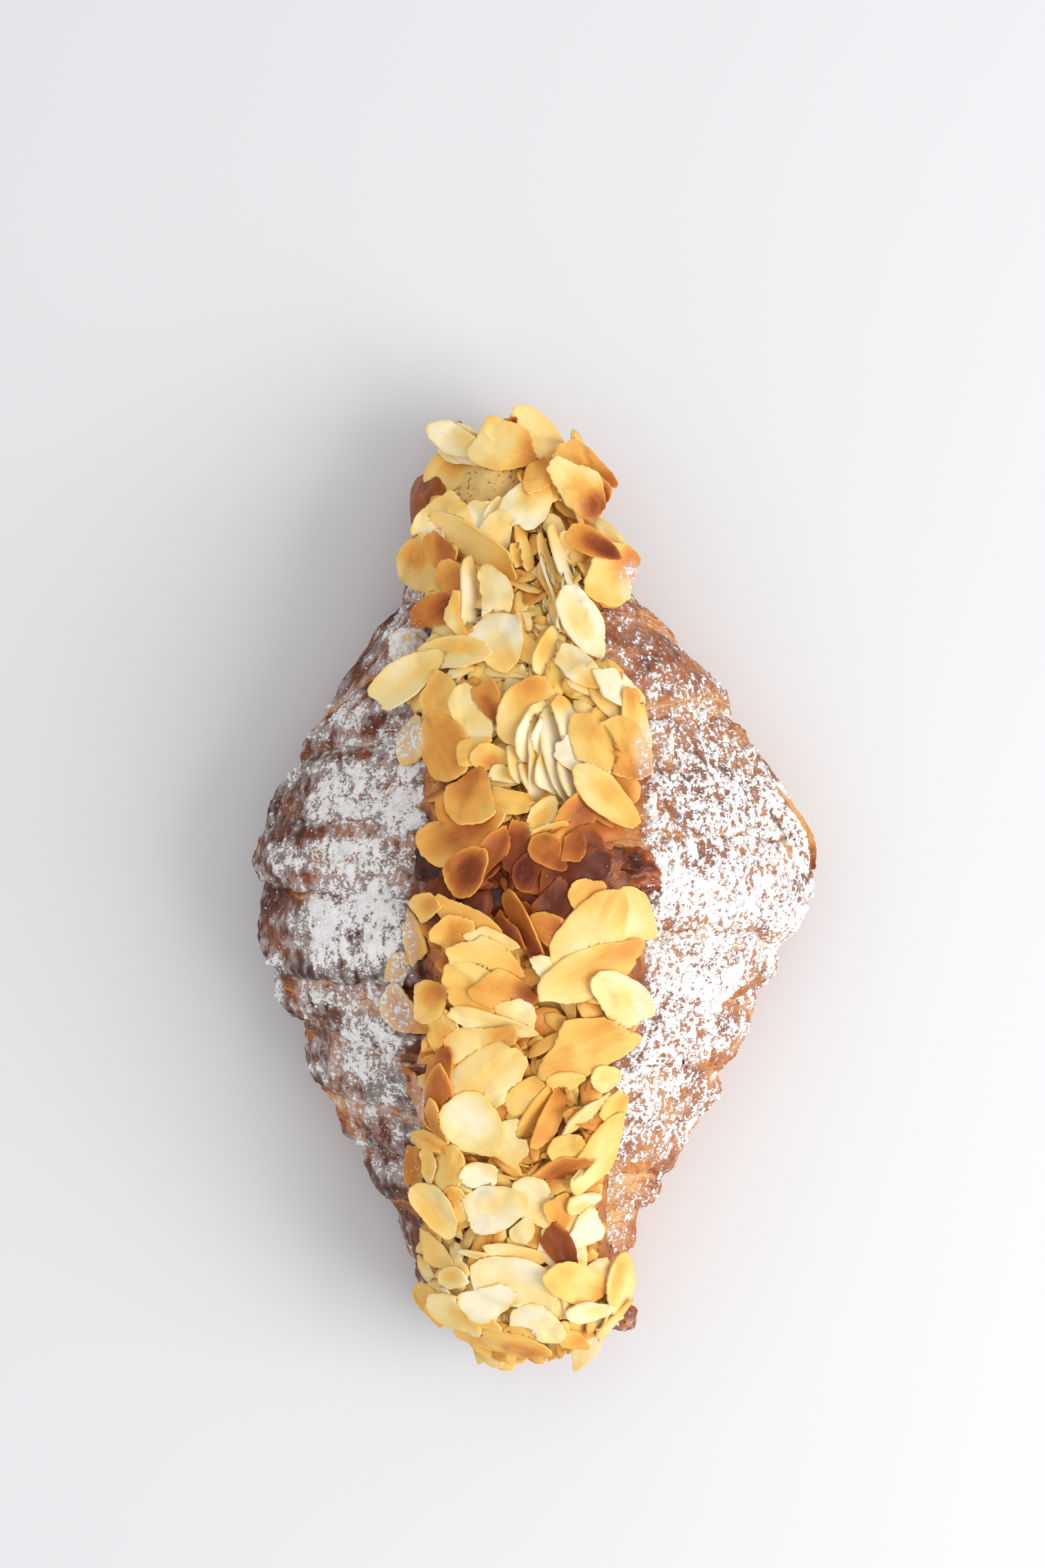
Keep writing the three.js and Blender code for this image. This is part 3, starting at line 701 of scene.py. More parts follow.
def lip_swell(lip, side):
    """How strongly a lip stands out at each place round the roll: most on the flanks."""
    flank = 1 + FLANK_STEP * smooth(0.45, 1.0, np.abs(side))
    return STEP_SHARE * flank * (1 + 0.5 * lumps(lip_turns(side), 4.5, int(abs(lip[1]) * 5) + 77))


def terraces(points, size, seed):
    """Layers that have flaked away: noise cut into flat terraces with a small cliff at each."""
    level = TERRACES * layered(points, size, seed, 3)
    return np.floor(level) + smooth(0, CLIFF, level - np.floor(level))


def wrap_profile(inner, outer, run, both_lips, tip):
    """Rows of a wrap from its start to its end, each (t, beyond, sink, lift, shown).

    t goes from the inner lip to the outer one, beyond is added along the roll, sink is the depth
    under the smooth crust, and lift raises hidden rows off the table.
    """
    step_in, step_out = inner[3], outer[3]
    t = np.linspace(0, 1, max(int(run / GRAIN), 12))
    if both_lips:
        rows = [(0, -beyond, sink, lift, shown)
                for _, beyond, sink, lift, shown in reversed(lip_rows(0, step_in))]
        sink = LIP_ROUND * step_in * np.abs(2 * t - 1) ** 8
    else:
        rows = [(0, back, step_in + deeper, lift, 0) for back, deeper, lift in TUCKED]
        sink = step_in * (1 - t) ** RISE_POWER + LIP_ROUND * step_out * t ** 12
    rows += [(place, 0, depth, 0, 1) for place, depth in zip(t, sink)]
    if not tip:
        rows += lip_rows(1, step_out)
        inset = RETURN_INSET if both_lips else -RETURN_REACH
        deeper_in, deeper_out = RETURN_DEEPER
        rows += [(1, -RETURN_INSET, LIP_ROUND * step_out + deeper_out, RETURN_LIFT / 2, 0),
                 (0.5, 0, RETURN_SINK, RETURN_LIFT, 0),
                 (0, inset, step_in + deeper_in, RETURN_LIFT, 0)]
    return np.array(rows)


def wrap_columns(y):
    """Columns round the section at y, evenly spaced by length: around, side and base share."""
    fine = np.linspace(-1, 1, LENGTH_SAMPLES)
    section = section_point(np.full(LENGTH_SAMPLES, float(y)), fine, 0.0)
    steps = np.linalg.norm(np.diff(section, axis=0), axis=1)
    length = np.concatenate([[0], np.cumsum(steps)])
    count = int(length[-1] / GRAIN)
    around = np.interp(np.linspace(0, length[-1], count), length, fine)
    base = np.linspace(0, 1, max(int(2 * half_width(y) / BASE_SPACING), 8))[1:-1]
    side = np.concatenate([np.clip(around / BELLY_PLACE, -1, 1), 1 - 2 * base])
    return around, side, base


def wrap_surface(inner, outer, way, both_lips, tip):
    """Points of a wrap on a grid of rows along the roll and columns round its section.

    A row's place along the roll is mixed from the two lips by t, and noise makes both lips
    wander. Below, each row goes straight across the base. A tip is rounded off towards a pole.
    """
    run = abs(outer[1] - inner[1])
    around, side, base = wrap_columns((inner[1] + outer[1]) / 2)
    rows = wrap_profile(inner, outer, run, both_lips, tip)
    t, beyond, sink, lift, shown = [column[:, None] for column in rows.T]
    start = (lip_place(inner, side) + lip_waver(inner, side))[None, :]
    end = (lip_place(outer, side) + (0 if tip else 1) * lip_waver(outer, side))[None, :]
    y = mix(start, end, t) + way * beyond
    count = len(around)
    swell = mix(lip_swell(inner, side), lip_swell(outer, side), t)[:, :count]
    depth = np.where(shown == 0, sink, sink * swell)
    top = section_point(y[:, :count], around[None, :], depth)
    top[..., 2] += lift
    floor = mix(top[:, -1:], top[:, :1], base[None, :, None])
    floor[..., 1] = y[:, count:]
    points = np.concatenate([top, floor], axis=1)
    shown = np.broadcast_to(shown, points.shape[:2])
    if tip:
        last = points[-1]
        pole = np.array([centre_line(outer[1]), outer[1], ridge_height(outer[1]) * TIP_POLE])
        turn = TIP_TURN[:, None, None]
        cap = pole + (last - pole) * np.cos(turn)
        cap[..., 1] = last[..., 1] + way * TIP_CAP * np.sin(turn[..., 0])
        points = np.concatenate([points, cap])
        shown = np.concatenate([shown, np.ones(cap.shape[:2])])
    return points, shown


def wrap_faces(points, tip, way):
    """Points and faces of a wrap: closed both ways round, or with a pole at each end of a tip."""
    if not tip:
        rows, columns = points.shape[:2]
        return points.reshape(-1, 3), grid_faces(rows, columns, True), NO_TRIANGLES
    poles = np.array([points[0].mean(axis=0), points[-1].mean(axis=0)])
    poles[1, 1] += way * TIP_BULGE
    return capped(points, poles)


# Places where the crust is golden and streaked: across, along, reach across and along, strength
GOLDEN_SPOTS = np.array([
    [15.5, 12, 7, 4.2, 0.22], [-16, 10.5, 6, 2, 0.2], [46, 14, 3, 9, 0.34], [-33, -38, 4, 16, 0.2],
    [16, -70, 6, 8, 0.2], [15, -55, 4, 9, 0.2], [14, 41, 5, 3, 0.2]])
BAND_REACH = 4.6  # how far the pale, layered band reaches from a lip
LIP_SHADOW_BARE = 0.34  # how much less sugar the crease along a lip keeps, so that bare dark crust paints the lip's shadow there
GOLDEN_STREAKS = 3.4  # how strongly golden places are striped, times their strength
SEAT_SHARE = 0.11 * (GRAIN / 0.34) ** 2  # share of the points at the sugar's edge with a grain
WRAP_FLOOR = 0.35  # how far the underside's blisters lift it off the table
seat_chance = np.random.default_rng(5)
grain_seats = []


def seat_grains(flat, facing, marked, share, shown):
    """Keeps seats for loose grains of sugar: points at the ragged edge of the cover."""
    likely = (shown > 0.9) & (share > 0.12) & (marked > 0.4) & (facing[:, 2] > 0.1)
    picked = np.nonzero(likely & (seat_chance.random(len(flat)) < SEAT_SHARE))[0]
    grain_seats.append(np.concatenate([flat[picked], facing[picked]], axis=1))


def sheet_places(points, shown):
    """Distance over a wrap's sheet from its first shown row, and distance across its rows."""
    steps = np.linalg.norm(np.diff(points, axis=0), axis=-1)
    along = np.concatenate([np.zeros((1, points.shape[1])), np.cumsum(steps, axis=0)])
    along = along - along[int(np.argmax(shown[:, 0] == 1))]
    widths = np.linalg.norm(np.diff(points[len(points) // 2], axis=0), axis=-1)
    across = np.broadcast_to(np.concatenate([[0], np.cumsum(widths)]), along.shape)
    return along, across


def wrap(name, inner, outer, way, seed, both_lips=False, tip=False):
    """One wrap of the roll, with its wrinkles, blisters, torn stripes and sugar.

    Relief moves each point along its normal by a sum of noises: wide bulges, furrows drawn out
    along the roll, fine blisters, flaked terraces, and stripes that follow the lip where the
    dough was stretched. The sugar adds its own depth. The pale band beside a lip keeps less of it.
    The furrows and the crease along a lip keep less too, and their bare dark crust is painted
    shade, as is the extra toast in the furrows. Towards the left side, away from the key light,
    the crust is browner: partly its own colour, partly painted shade.
    """
    points, shown = wrap_surface(inner, outer, way, both_lips, tip)
    along, across = sheet_places(points, shown)
    flat, quads, ends = wrap_faces(points, tip, way)
    at_poles = np.zeros(len(flat) - along.size)
    along, across, shown = [np.concatenate([place.ravel(), at_poles])
                            for place in (along, across, shown)]
    facing = normals(flat, quads, ends)
    sheet = np.stack([along, across, np.full(len(flat), seed * 5.0)], axis=-1)

    reach = BAND_REACH * (0.8 + 0.6 * lumps(sheet, (50, 14, 9), seed + 3)
                          + 0.35 * lumps(sheet, (50, 4, 9), seed + 4))
    band = smooth(reach + 1.2, reach - 1.2, along) if not both_lips else 0 * along
    strength = 0.55 + 0.45 * lumps(sheet, (50, 22, 9), seed + 5)
    bulge = 0.7 * layered(flat, 13, 4, 2) + 0.5 * lumps(flat, 30, 5)
    furrow = creases(flat, (3.4, 9, 3.4), 6) * (1 - band)
    fine = creases(flat, (1.7, 4.6, 1.7), 7)
    blister = layered(flat, 1.3, seed + 7, 2)
    stripe = lumps(sheet, (0.85, 13, 9), seed + 8) + 0.5 * lumps(sheet, (0.5, 7, 9), seed + 9)
    peel = terraces(np.stack([along, across / 2.6, sheet[:, 2]], axis=-1), 5.5, seed + 12)
    relief = (bulge - 0.34 * furrow - 0.2 * fine + 0.15 * blister + 0.26 * peel
              + mix(0.1, 0.32, band) * stripe)

    lefty = smooth(25, -35, flat[:, 0])
    # A line along the crease where the wrap comes out from under a lip. It loses sugar so that bare
    # dark crust paints the lip's shadow there.
    lip_shadow_line = smooth(1.8, 0.5, along) * smooth(-1.9, -0.3, along) * (0.62 + 0.38 * stripe)
    band_bare = mix(0.02 + 0.2 * stripe, 0.34 + 0.16 * stripe, lefty)
    # Furrows and fine creases keep less sugar, the more so on the left, and the bare dark crust in
    # them is painted shade.
    kept = (1 - band * strength * band_bare - mix(0.3, 0.5, lefty) * furrow
            - 0.22 * lefty * fine - LIP_SHADOW_BARE * np.clip(lip_shadow_line, 0, 1))
    marked, share = icing(flat, facing[:, 2], kept)
    sugar_depth = smooth(0.44, 0.62, marked) * (0.32 + 0.2 * lumps(flat, 1.6, seed + 10)
                                                + 0.16 * lumps(flat, 0.7, seed + 13))
    underside = smooth(0.9, 0.2, flat[:, 2])
    flat = flat + facing * (shown * (1 - underside) * (relief + sugar_depth))[:, None]
    flat[:, 2] = np.maximum(flat[:, 2], WRAP_FLOOR * underside * shown * (1 + blister) / 2)
    seat_grains(flat, facing, marked, share, shown)

    low = smooth(14, 4, flat[:, 2])
    golden = spotted(flat[:, 0], flat[:, 1], GOLDEN_SPOTS, 0.0)
    # Toast is higher in the furrows, which is painted shade in the creases. It also rises by up to
    # 0.32 towards the left side, away from the key light: partly the crust's own browner colour
    # there, partly painted shade.
    toast = (0.44 + 0.32 * lefty + 0.16 * layered(flat, 8, seed + 11, 2) + 0.12 * furrow
             + 0.07 * peel - 0.34 * band * strength + 0.05 * band * stripe - 0.1 * low
             - golden)
    marks = {"toast": toast, "sugar": marked, "dust": share * mix(0.35, 1, lefty),
             "veil": mix(0.16, 0.86 - 0.6 * share, lefty),
             "band": np.maximum(band, GOLDEN_STREAKS * golden)}
    piece = make_piece(name, flat, quads, ends, crust, marks, np.stack([across, along], axis=-1))
    belongs(piece, "pastry")


def all_wraps():
    """The middle wrap, then those towards the narrow and the broad end, each from lip to lip."""
    wrap("wrap_middle", SOUTH_LIPS[0], NORTH_LIPS[0], 1, 100, both_lips=True)
    for lips, way, side, first_seed in ((NORTH_LIPS, 1, "narrow", 200),
                                        (SOUTH_LIPS, -1, "broad", 500)):
        end = way * ROLL_END
        edges = [*lips, (end, end, end, lips[-1][3])]
        for k in range(len(lips)):
            wrap(f"wrap_{side}_{k + 1}", edges[k], edges[k + 1], way, first_seed + 20 * k,
                 tip=k == len(lips) - 1)


all_wraps()

flap_edge = curve_through([0.5, 2.9, 5.8, 8.2, 9.2, 12, 15.1, 19.9, 21.5],
                          [47.6, 49.5, 50.4, 50.6, 50.5, 49, 47, 42.8, 41])
FLAP_FROM = 0.8
FLAP_TO = 21.2
FLAP_WIDE = 5.2
FLAP_THICK = 0.8
FLAP_PROUD = 0.7  # how far its edge stands off the crust
FLAP_ROOT = -0.5  # how far its root lies in the crust
FLAP_HELD = 0.7  # how far inside the pastry's outline the height under it is read
FLAP_ROWS = 120
FLAP_COLUMNS = 26


def side_flap():
    """The flap on the right flank: a strip of the wrap that stands off, with a bare golden edge.

    Rows go along the roll. Across the strip, s goes from its root in the crust to its edge, and
    the top lies on the crust's height plus s times FLAP_PROUD. The underside comes back below.
    """
    y = np.linspace(FLAP_FROM, FLAP_TO, FLAP_ROWS)[:, None]
    s = np.linspace(0, 1, FLAP_COLUMNS)[None, :]
    run = (y - FLAP_FROM) / (FLAP_TO - FLAP_FROM)
    closing = np.sqrt(np.clip(1 - (2 * run - 1) ** 6, 0, 1))
    sheet = np.stack([y, 0 * y, 0 * y], axis=-1)
    wander = 0.3 * lumps(sheet, 2.4, 811) + 0.15 * lumps(sheet, 0.8, 812)
    x = flap_edge(y) + wander * closing - FLAP_WIDE * (1 - s) * closing
    held = np.minimum(x, right_edge(y) - FLAP_HELD)
    z = crust_height(held, y) + mix(FLAP_ROOT, FLAP_PROUD, s ** 0.7) * closing
    top = np.stack([x, y + 0 * x, z], axis=-1)
    under = top[:, ::-1] - np.array([0.15, 0, FLAP_THICK])
    points, quads, caps = capped(np.concatenate([top, under], axis=1))
    facing = normals(points, quads, caps)
    out = np.concatenate([s + 0 * y, (s + 0 * y)[:, ::-1]], axis=1)
    out = np.concatenate([out.ravel(), [0, 0]])
    points = points + facing * (0.12 * layered(points, 1.2, 813, 2))[:, None]
    rim = smooth(0.74, 0.88, out + 0.06 * lumps(points, 1.5, 814))
    browner = smooth(9.6, 7.6, points[:, 1])
    toast = 0.5 + rim * mix(-0.4, 0.1, browner) + 0.1 * lumps(points, 2.5, 815)
    marked = np.clip(0.66 - 0.6 * rim + 0.2 * lumps(points, 0.8, 816)
                     + 0.2 * lumps(points, 2, 817), 0, 1)
    marks = {"toast": toast, "sugar": marked, "dust": 0.3 * (1 - rim), "band": 0.4 + 0 * rim}
    piece = make_piece("side_flap_right", points, quads, caps, crust, marks, points[:, [1, 2]])
    belongs(piece, "pastry")


side_flap()

# Corners and faces of a twenty-sided grain
GOLDEN = (1 + 5 ** 0.5) / 2
GRAIN_CORNERS = np.array([
    [-1, GOLDEN, 0], [1, GOLDEN, 0], [-1, -GOLDEN, 0], [1, -GOLDEN, 0], [0, -1, GOLDEN],
    [0, 1, GOLDEN], [0, -1, -GOLDEN], [0, 1, -GOLDEN], [GOLDEN, 0, -1], [GOLDEN, 0, 1],
    [-GOLDEN, 0, -1], [-GOLDEN, 0, 1]]) / math.hypot(1, GOLDEN)
GRAIN_FACES = np.array([
    [0, 11, 5], [0, 5, 1], [0, 1, 7], [0, 7, 10], [0, 10, 11], [1, 5, 9], [5, 11, 4], [11, 10, 2],
    [10, 7, 6], [7, 1, 8], [3, 9, 4], [3, 4, 2], [3, 2, 6], [3, 6, 8], [3, 8, 9], [4, 9, 5],
    [2, 4, 11], [6, 2, 10], [8, 6, 7], [9, 8, 1]])
MOST_GRAINS = 9000
GRAIN_SIZES = (0.12, 0.3)  # the smallest radius, and how much more the largest has
GRAIN_RARITY = 2.4  # power that makes large grains rare
GRAIN_RISE = 0.25  # how far a grain's middle stands over its seat, share of its radius


def sugar_grains(name, seats):
    """Loose clumps of sugar: twenty-sided grains of uneven size, sunk in what they lie on."""
    seats = seats[seat_chance.permutation(len(seats))[:MOST_GRAINS]]
    count = len(seats)
    size = GRAIN_SIZES[0] + GRAIN_SIZES[1] * seat_chance.random(count) ** GRAIN_RARITY
    uneven = 1 + 0.55 * (seat_chance.random((count, 12, 1)) - 0.5)
    stretch = 1 + 0.6 * (seat_chance.random((count, 1, 3)) - 0.4)
    corners = GRAIN_CORNERS[None] * uneven * stretch * size[:, None, None]
    middle = seats[:, None, :3] + seats[:, None, 3:] * (GRAIN_RISE * size)[:, None, None]
    points = (middle + corners).reshape(-1, 3)
    faces = (GRAIN_FACES[None] + 12 * np.arange(count)[:, None, None]).reshape(-1, 3)
    belongs(make_piece(name, points, NO_QUADS, faces, sugar), "pastry")


all_seats = np.concatenate(grain_seats)
sugar_grains("sugar_grains_left", all_seats[all_seats[:, 0] < 0])
sugar_grains("sugar_grains_right", all_seats[all_seats[:, 0] >= 0])

# ---- almond cream -------------------------------------------------------------------------------

CREAM_LEFT = -17.5
CREAM_RIGHT = 16.8
CREAM_THICK = 3.4
CREAM_LUMPS = 0.8  # how much the thickness wanders
CREAM_EDGE_SHARE = 0.86  # widest the band gets, share of the pastry at the ends
CREAM_NORTH = 79.5
CREAM_SOUTH = -78.5
BAND_END = 0.35  # share of its width and thickness that the band has left at its two ends
END_SHARPNESS = 14  # how quickly it gets to the whole of them
RUN_OVER = 6.0  # how far the cream runs out to the right, past the flakes, at the caramel
RUN_OVER_AT = 4.0
RAGGED_EDGE = 0.035
CREAM_WIDE = 36.0  # length over the band from side to side
CREAM_ROOT = 2.6  # how far the cream's underside lies in the crust
CREAM_GRAIN = 0.58

# Browned places of the cream: across, along, reach across, reach along, and toast
CREAM_SPOTS = np.array([
    [-9, 73.2, 7, 5, 0.12], [-18, 73.5, 3, 4, 0.85], [-13, 20.5, 3, 3.4, 0.8],
    [15.5, 4.5, 6, 7, 0.7], [-6.9, 1, 3.6, 4, 1.0], [-13.5, 6, 4.5, 5, 0.72],
    [-15.5, -13.5, 3.6, 4, 0.5], [4.2, -18.4, 5, 3.4, 0.2], [4.5, -39, 3, 4, 0.85],
    [0, -46.5, 2.4, 2, 0.9], [17, -30, 3, 8, 0.55], [-16, -30, 3, 6, 0.62], [3, 7, 8, 8, 0.75],
    [-18, 47, 3, 5, 0.8], [12, 62, 3, 5, 0.8]])

# How far the flakes reach to the left and to the right
MARGIN_PLACES = [85, 75, 70, 65, 60, 55, 50, 45, 40, 35, 30, 25, 20, 15, 10, 5, 0, -10, -20, -25,
                 -30, -35, -40, -50, -60, -68, -75, -82]
heap_left = curve_through(MARGIN_PLACES, [
    -15, -17.5, -19, -19, -21, -20, -20, -20, -24, -25, -20, -20, -19, -18, -18, -17.5, -20, -20,
    -20, -20, -20, -20, -20, -21, -22, -21, -17, -13])
heap_right = curve_through(MARGIN_PLACES, [
    6, 13, 13, 15, 18, 19.5, 12.5, 12.5, 12, 19, 19, 20, 19, 17, 12.5, 12.5, 19.5, 20, 20, 18, 14,
    16.5, 15, 14, 14, 18, 17, 10])


def cream_thickness(x, y):
    """Thickness of the cream: three waves that don't line up."""
    waves = np.sin(0.31 * y + 0.4) + np.sin(0.53 * x - 0.17 * y) + np.sin(0.83 * y + 1.9)
    return CREAM_THICK + CREAM_LUMPS * waves / 3


def cream_edges(y):
    """Left and right edge of the cream, wandering, and drawn in where the pastry narrows.

    On the right it ends just inside the flakes, apart from where it ran over beside them.
    """
    reach = CREAM_EDGE_SHARE * half_width(y)
    left = np.maximum(CREAM_LEFT + np.sin(0.23 * y), centre_line(y) - reach)
    ran_over = RUN_OVER * smooth(5.6, 3.6, np.abs(y - RUN_OVER_AT))
    right = np.minimum(CREAM_RIGHT + np.sin(0.19 * y + 2), heap_right(y) - 0.5 + ran_over)
    return left, np.minimum(right, centre_line(y) + reach)


def band_reach(y):
    """Middle, half width and fullness of the cream's band, drawn in at its two ends."""
    left, right = cream_edges(y)
    run = np.clip((y - CREAM_SOUTH) / (CREAM_NORTH - CREAM_SOUTH), 0, 1)
    end = np.minimum(1, BAND_END + END_SHARPNESS * np.sin(np.pi * run))
    return (left + right) / 2, end * (right - left) / 2, end


def cream_top(x, y):
    """Top of the cream: the crust, and the thickness rounded down to the band's two sides."""
    middle, half, end = band_reach(y)
    share = np.clip(np.abs(x - middle) / half, 0, 1)
    return crust_height(x, y) + end * (1 - share ** 3) ** 0.5 * cream_thickness(x, y)


def cream_band():
    """The cream: rows across the band, over its lumpy top and back under it inside the crust."""
    count = int((CREAM_NORTH - CREAM_SOUTH) / CREAM_GRAIN)
    y = mix(CREAM_SOUTH, CREAM_NORTH, np.linspace(0, 1, count))[:, None]
    middle, half = band_reach(y)[:2]
    columns = int(CREAM_WIDE / CREAM_GRAIN)
    wide = np.sin(np.linspace(-np.pi / 2, np.pi / 2, columns))[None, :]
    side = np.sign(wide) + 0 * y
    edge_place = np.stack([9 * side, y + 0 * side, 0 * side], axis=-1)
    ragged = 1 + RAGGED_EDGE * lumps(edge_place, 2.4, 400)
    x = middle + half * wide * mix(1, ragged, wide ** 4)
    top = np.stack([x, y + 0 * x, cream_top(x, y)], axis=-1)
    under = top[:, ::-1].copy()
    under[..., 2] = crust_height(under[..., 0], under[..., 1]) - CREAM_ROOT
    flat, quads, ends = capped(np.concatenate([top, under[:, 1:-1]], axis=1))
    facing = normals(flat, quads, ends)
    pores = creases(flat, 1.5, 401, 3)
    relief = 0.45 * layered(flat, 3.2, 402, 3) - 0.3 * pores + 0.16 * layered(flat, 0.9, 404, 2)
    flat = flat + facing * relief[:, None]
    toast = spotted(flat[:, 0], flat[:, 1], CREAM_SPOTS, 0.4 + 0.1 * layered(flat, 7, 405, 2))
    middle, half = band_reach(flat[:, 1])[:2]
    toast = toast + 0.25 * smooth(0.8, 1.0, np.abs(flat[:, 0] - middle) / half)
    none = np.zeros(len(flat))
    marks = {"toast": toast, "sugar": none, "dust": none}
    belongs(make_piece("almond_cream_band", flat, quads, ends, cream, marks), "almond_cream")


cream_band()


# Puddles of caramel: across, along, reach across, reach along, thickness, and depth of colour
CARAMEL = [("caramel_right", 16.4, 4.2, 5.4, 4.9, 1.3, 0.5),
           ("caramel_left", -16.4, 6.4, 3.4, 4.6, 1.1, 0.72)]
TOP_RINGS = 34
UNDER_RINGS = 9
PUDDLE_COLUMNS = 120
PUDDLE_ROOT = -1.6  # how deep its underside lies in the crust
PUDDLE_SKIN = 0.1  # how far even its rim stands over the crust


def puddle(name, across, along, reach_x, reach_y, thick, depth, seed):
    """A set puddle: rings from the middle out, its top thick times sqrt(1 - r^4) over the crust.

    Ripples run across it, and its outline wavers by noise round the ring.
    """
    r = np.concatenate([np.linspace(0.04, 1, TOP_RINGS), np.linspace(0.98, 0.1, UNDER_RINGS)])
    r = r[:, None]
    on_top = np.concatenate([np.ones(TOP_RINGS), np.zeros(UNDER_RINGS)])[:, None]
    turn = np.linspace(0, 2 * np.pi, PUDDLE_COLUMNS, endpoint=False)[None, :]
    level = 0 * turn + 0 * r
    circle = np.stack([np.cos(turn) + level, np.sin(turn) + level, level], axis=-1)
    out = r * (1 + 0.16 * lumps(circle * 2, 0.9, seed) + 0.08 * lumps(circle * 2, 0.35, seed + 1))
    x, y = across + reach_x * out * np.cos(turn), along + reach_y * out * np.sin(turn)
    plan = np.stack([x, y, level], axis=-1)
    ripple = (0.42 * lumps(plan, (3.4, 1.3, 9), seed + 2)
              + 0.2 * lumps(plan, (1.6, 0.8, 9), seed + 3)
              + 0.4 * creases(plan, (4.2, 1.8, 9), seed + 4, 3))
    swell = np.sqrt(np.clip(1 - r ** 4, 0, 1)) * (thick + ripple)
    z = crust_height(x, y) + mix(PUDDLE_ROOT, PUDDLE_SKIN + swell, on_top)
    points, quads, caps = capped(np.stack([x, y, z], axis=-1))
    toast = depth + 0.3 * lumps(points, (3, 1.4, 9), seed + 5)
    piece = make_piece(name, points, quads, caps, caramel, {"toast": toast})
    belongs(piece, "almond_cream")


for number, (name, *shape) in enumerate(CARAMEL):
    puddle(name, *shape, 440 + 10 * number)

# ---- flaked almonds -----------------------------------------------------------------------------

FLAKE_THICK = 0.5
FLAKE_POINT = 0.24  # how much a flake is drawn in towards its point
FLAKE_SINK = 0.1  # how far it lies in what it rests on
CUT_NOTCH = 0.035  # how ragged a broken edge is, as a share of its distance out
FLAKE_SWELL = 1.14  # what the sizes in the tables below are multiplied by
REST_SHARE = 0.86  # share of the cells under a flake that it rests clear of
PRESS_GAP = 0.03  # between a flake and one pressed down under it
SNAP_AT = 1.6  # how far a flake bends down under another before it snaps
RIM_TOAST = 0.3
STEEPEST = 0.7  # slope that a flake takes from the crust or from the flakes under it
BED_THICK = 1.3  # usual height of the bed over the cream
HEAP_MOST = 2.6  # how far a large flake may stand over the bed
CELL = 0.4  # spacing of the heap's grid of heights
LEVELLING = 0.5  # share of a flake's tilt that it takes from what it lies on
DRAPE = 0.4  # share of the unevenness under it that a flat flake follows
DRAPE_MOST = 1.3
STIFF_LEAN = 24  # a flake that leans more than this stays straight
PLANE_CELLS = 12  # fewest cells of the heap that a plane is fitted to
FEWEST_CELLS = 4  # fewest cells that hold a flake up
SNAP_SHARES = np.linspace(1, 0.15, 18)  # what is left of a snapped flake, tried in turn
FLAKE_DUST = (0.6, 0.4)  # sugar specks on the outermost flakes, and how much fewer elsewhere
BLOOM = 0.4  # strength of the sugar's thin veil on the flakes and lumps

# Each flake: across, along, heading of its point in degrees, length, width, lean about its long
# axis, toast at its blunt end and toast at its point, in the order that they are laid
NARROW_END = [
    [1, 80.6, -35, 11.6, 8.6, 0, 0.16, 0.22], [-14, 76.4, 55, 10.4, 7, 0, 0.3, 0.4],
    [-13.4, 81.8, 80, 4.4, 2.4, 30, 0.6, 0.65], [-11.4, 79.4, -24, 12.4, 6, 12, 0.05, 0.1],
    [-10, 78.4, -28, 11, 4.6, 18, 0.06, 0.12], [-12.6, 80.2, -20, 11, 5, 8, 0.04, 0.08],
    [-4.5, 82.6, 25, 5.6, 2.4, 20, 0.6, 0.62], [-5.2, 79.2, -15, 13.4, 8, 8, 0.24, 0.62],
    [-16, 65.6, 80, 10.6, 8, 0, 0.1, 0.12], [-9.3, 65.8, 85, 7.4, 5.4, 0, 0.05, 0.08],
    [-12.9, 65.2, 90, 6.6, 5, 0, 0.28, 0.3], [-6.2, 65.8, 85, 7, 4, 10, 0.08, 0.1],
    [-0.6, 68.6, 50, 11.5, 7, 0, 0.1, 0.3], [1.3, 73.5, 70, 8, 4.5, 12, 0.48, 0.55],
    [9, 76, -35, 13, 5.2, 26, 0.42, 0.66], [12.4, 71.4, -80, 5, 3.4, 0, 0.5, 0.6],
    [8, 72, -48, 12.5, 7.6, 8, 0.18, 0.62], [-19.6, 58.4, 60, 9.5, 7.4, 0, 0.3, 0.3],
    [-15.2, 60.2, -60, 8.4, 6.6, 10, 0.58, 0.6], [-6.3, 63, 70, 9, 5.2, 0, 0.2, 0.3],
    [-1.5, 60.5, 100, 8, 3, 40, 0.35, 0.4], [-2.8, 59, 95, 6, 2.5, 45, 0.35, 0.3],
    [-9, 60.6, -37, 19, 5.4, 34, 0.3, 0.56], [14.2, 56.4, 5, 12.6, 9.8, 0, 0.3, 0.36],
    [10.8, 61.4, -25, 9.4, 4, 24, 0.6, 0.76], [2.5, 58, 100, 10, 3, 45, 0.2, 0.25],
    [8, 54, 100, 14, 4, 50, 0.2, 0.24], [5.8, 58, 105, 17, 5.6, 40, 0.14, 0.28]]
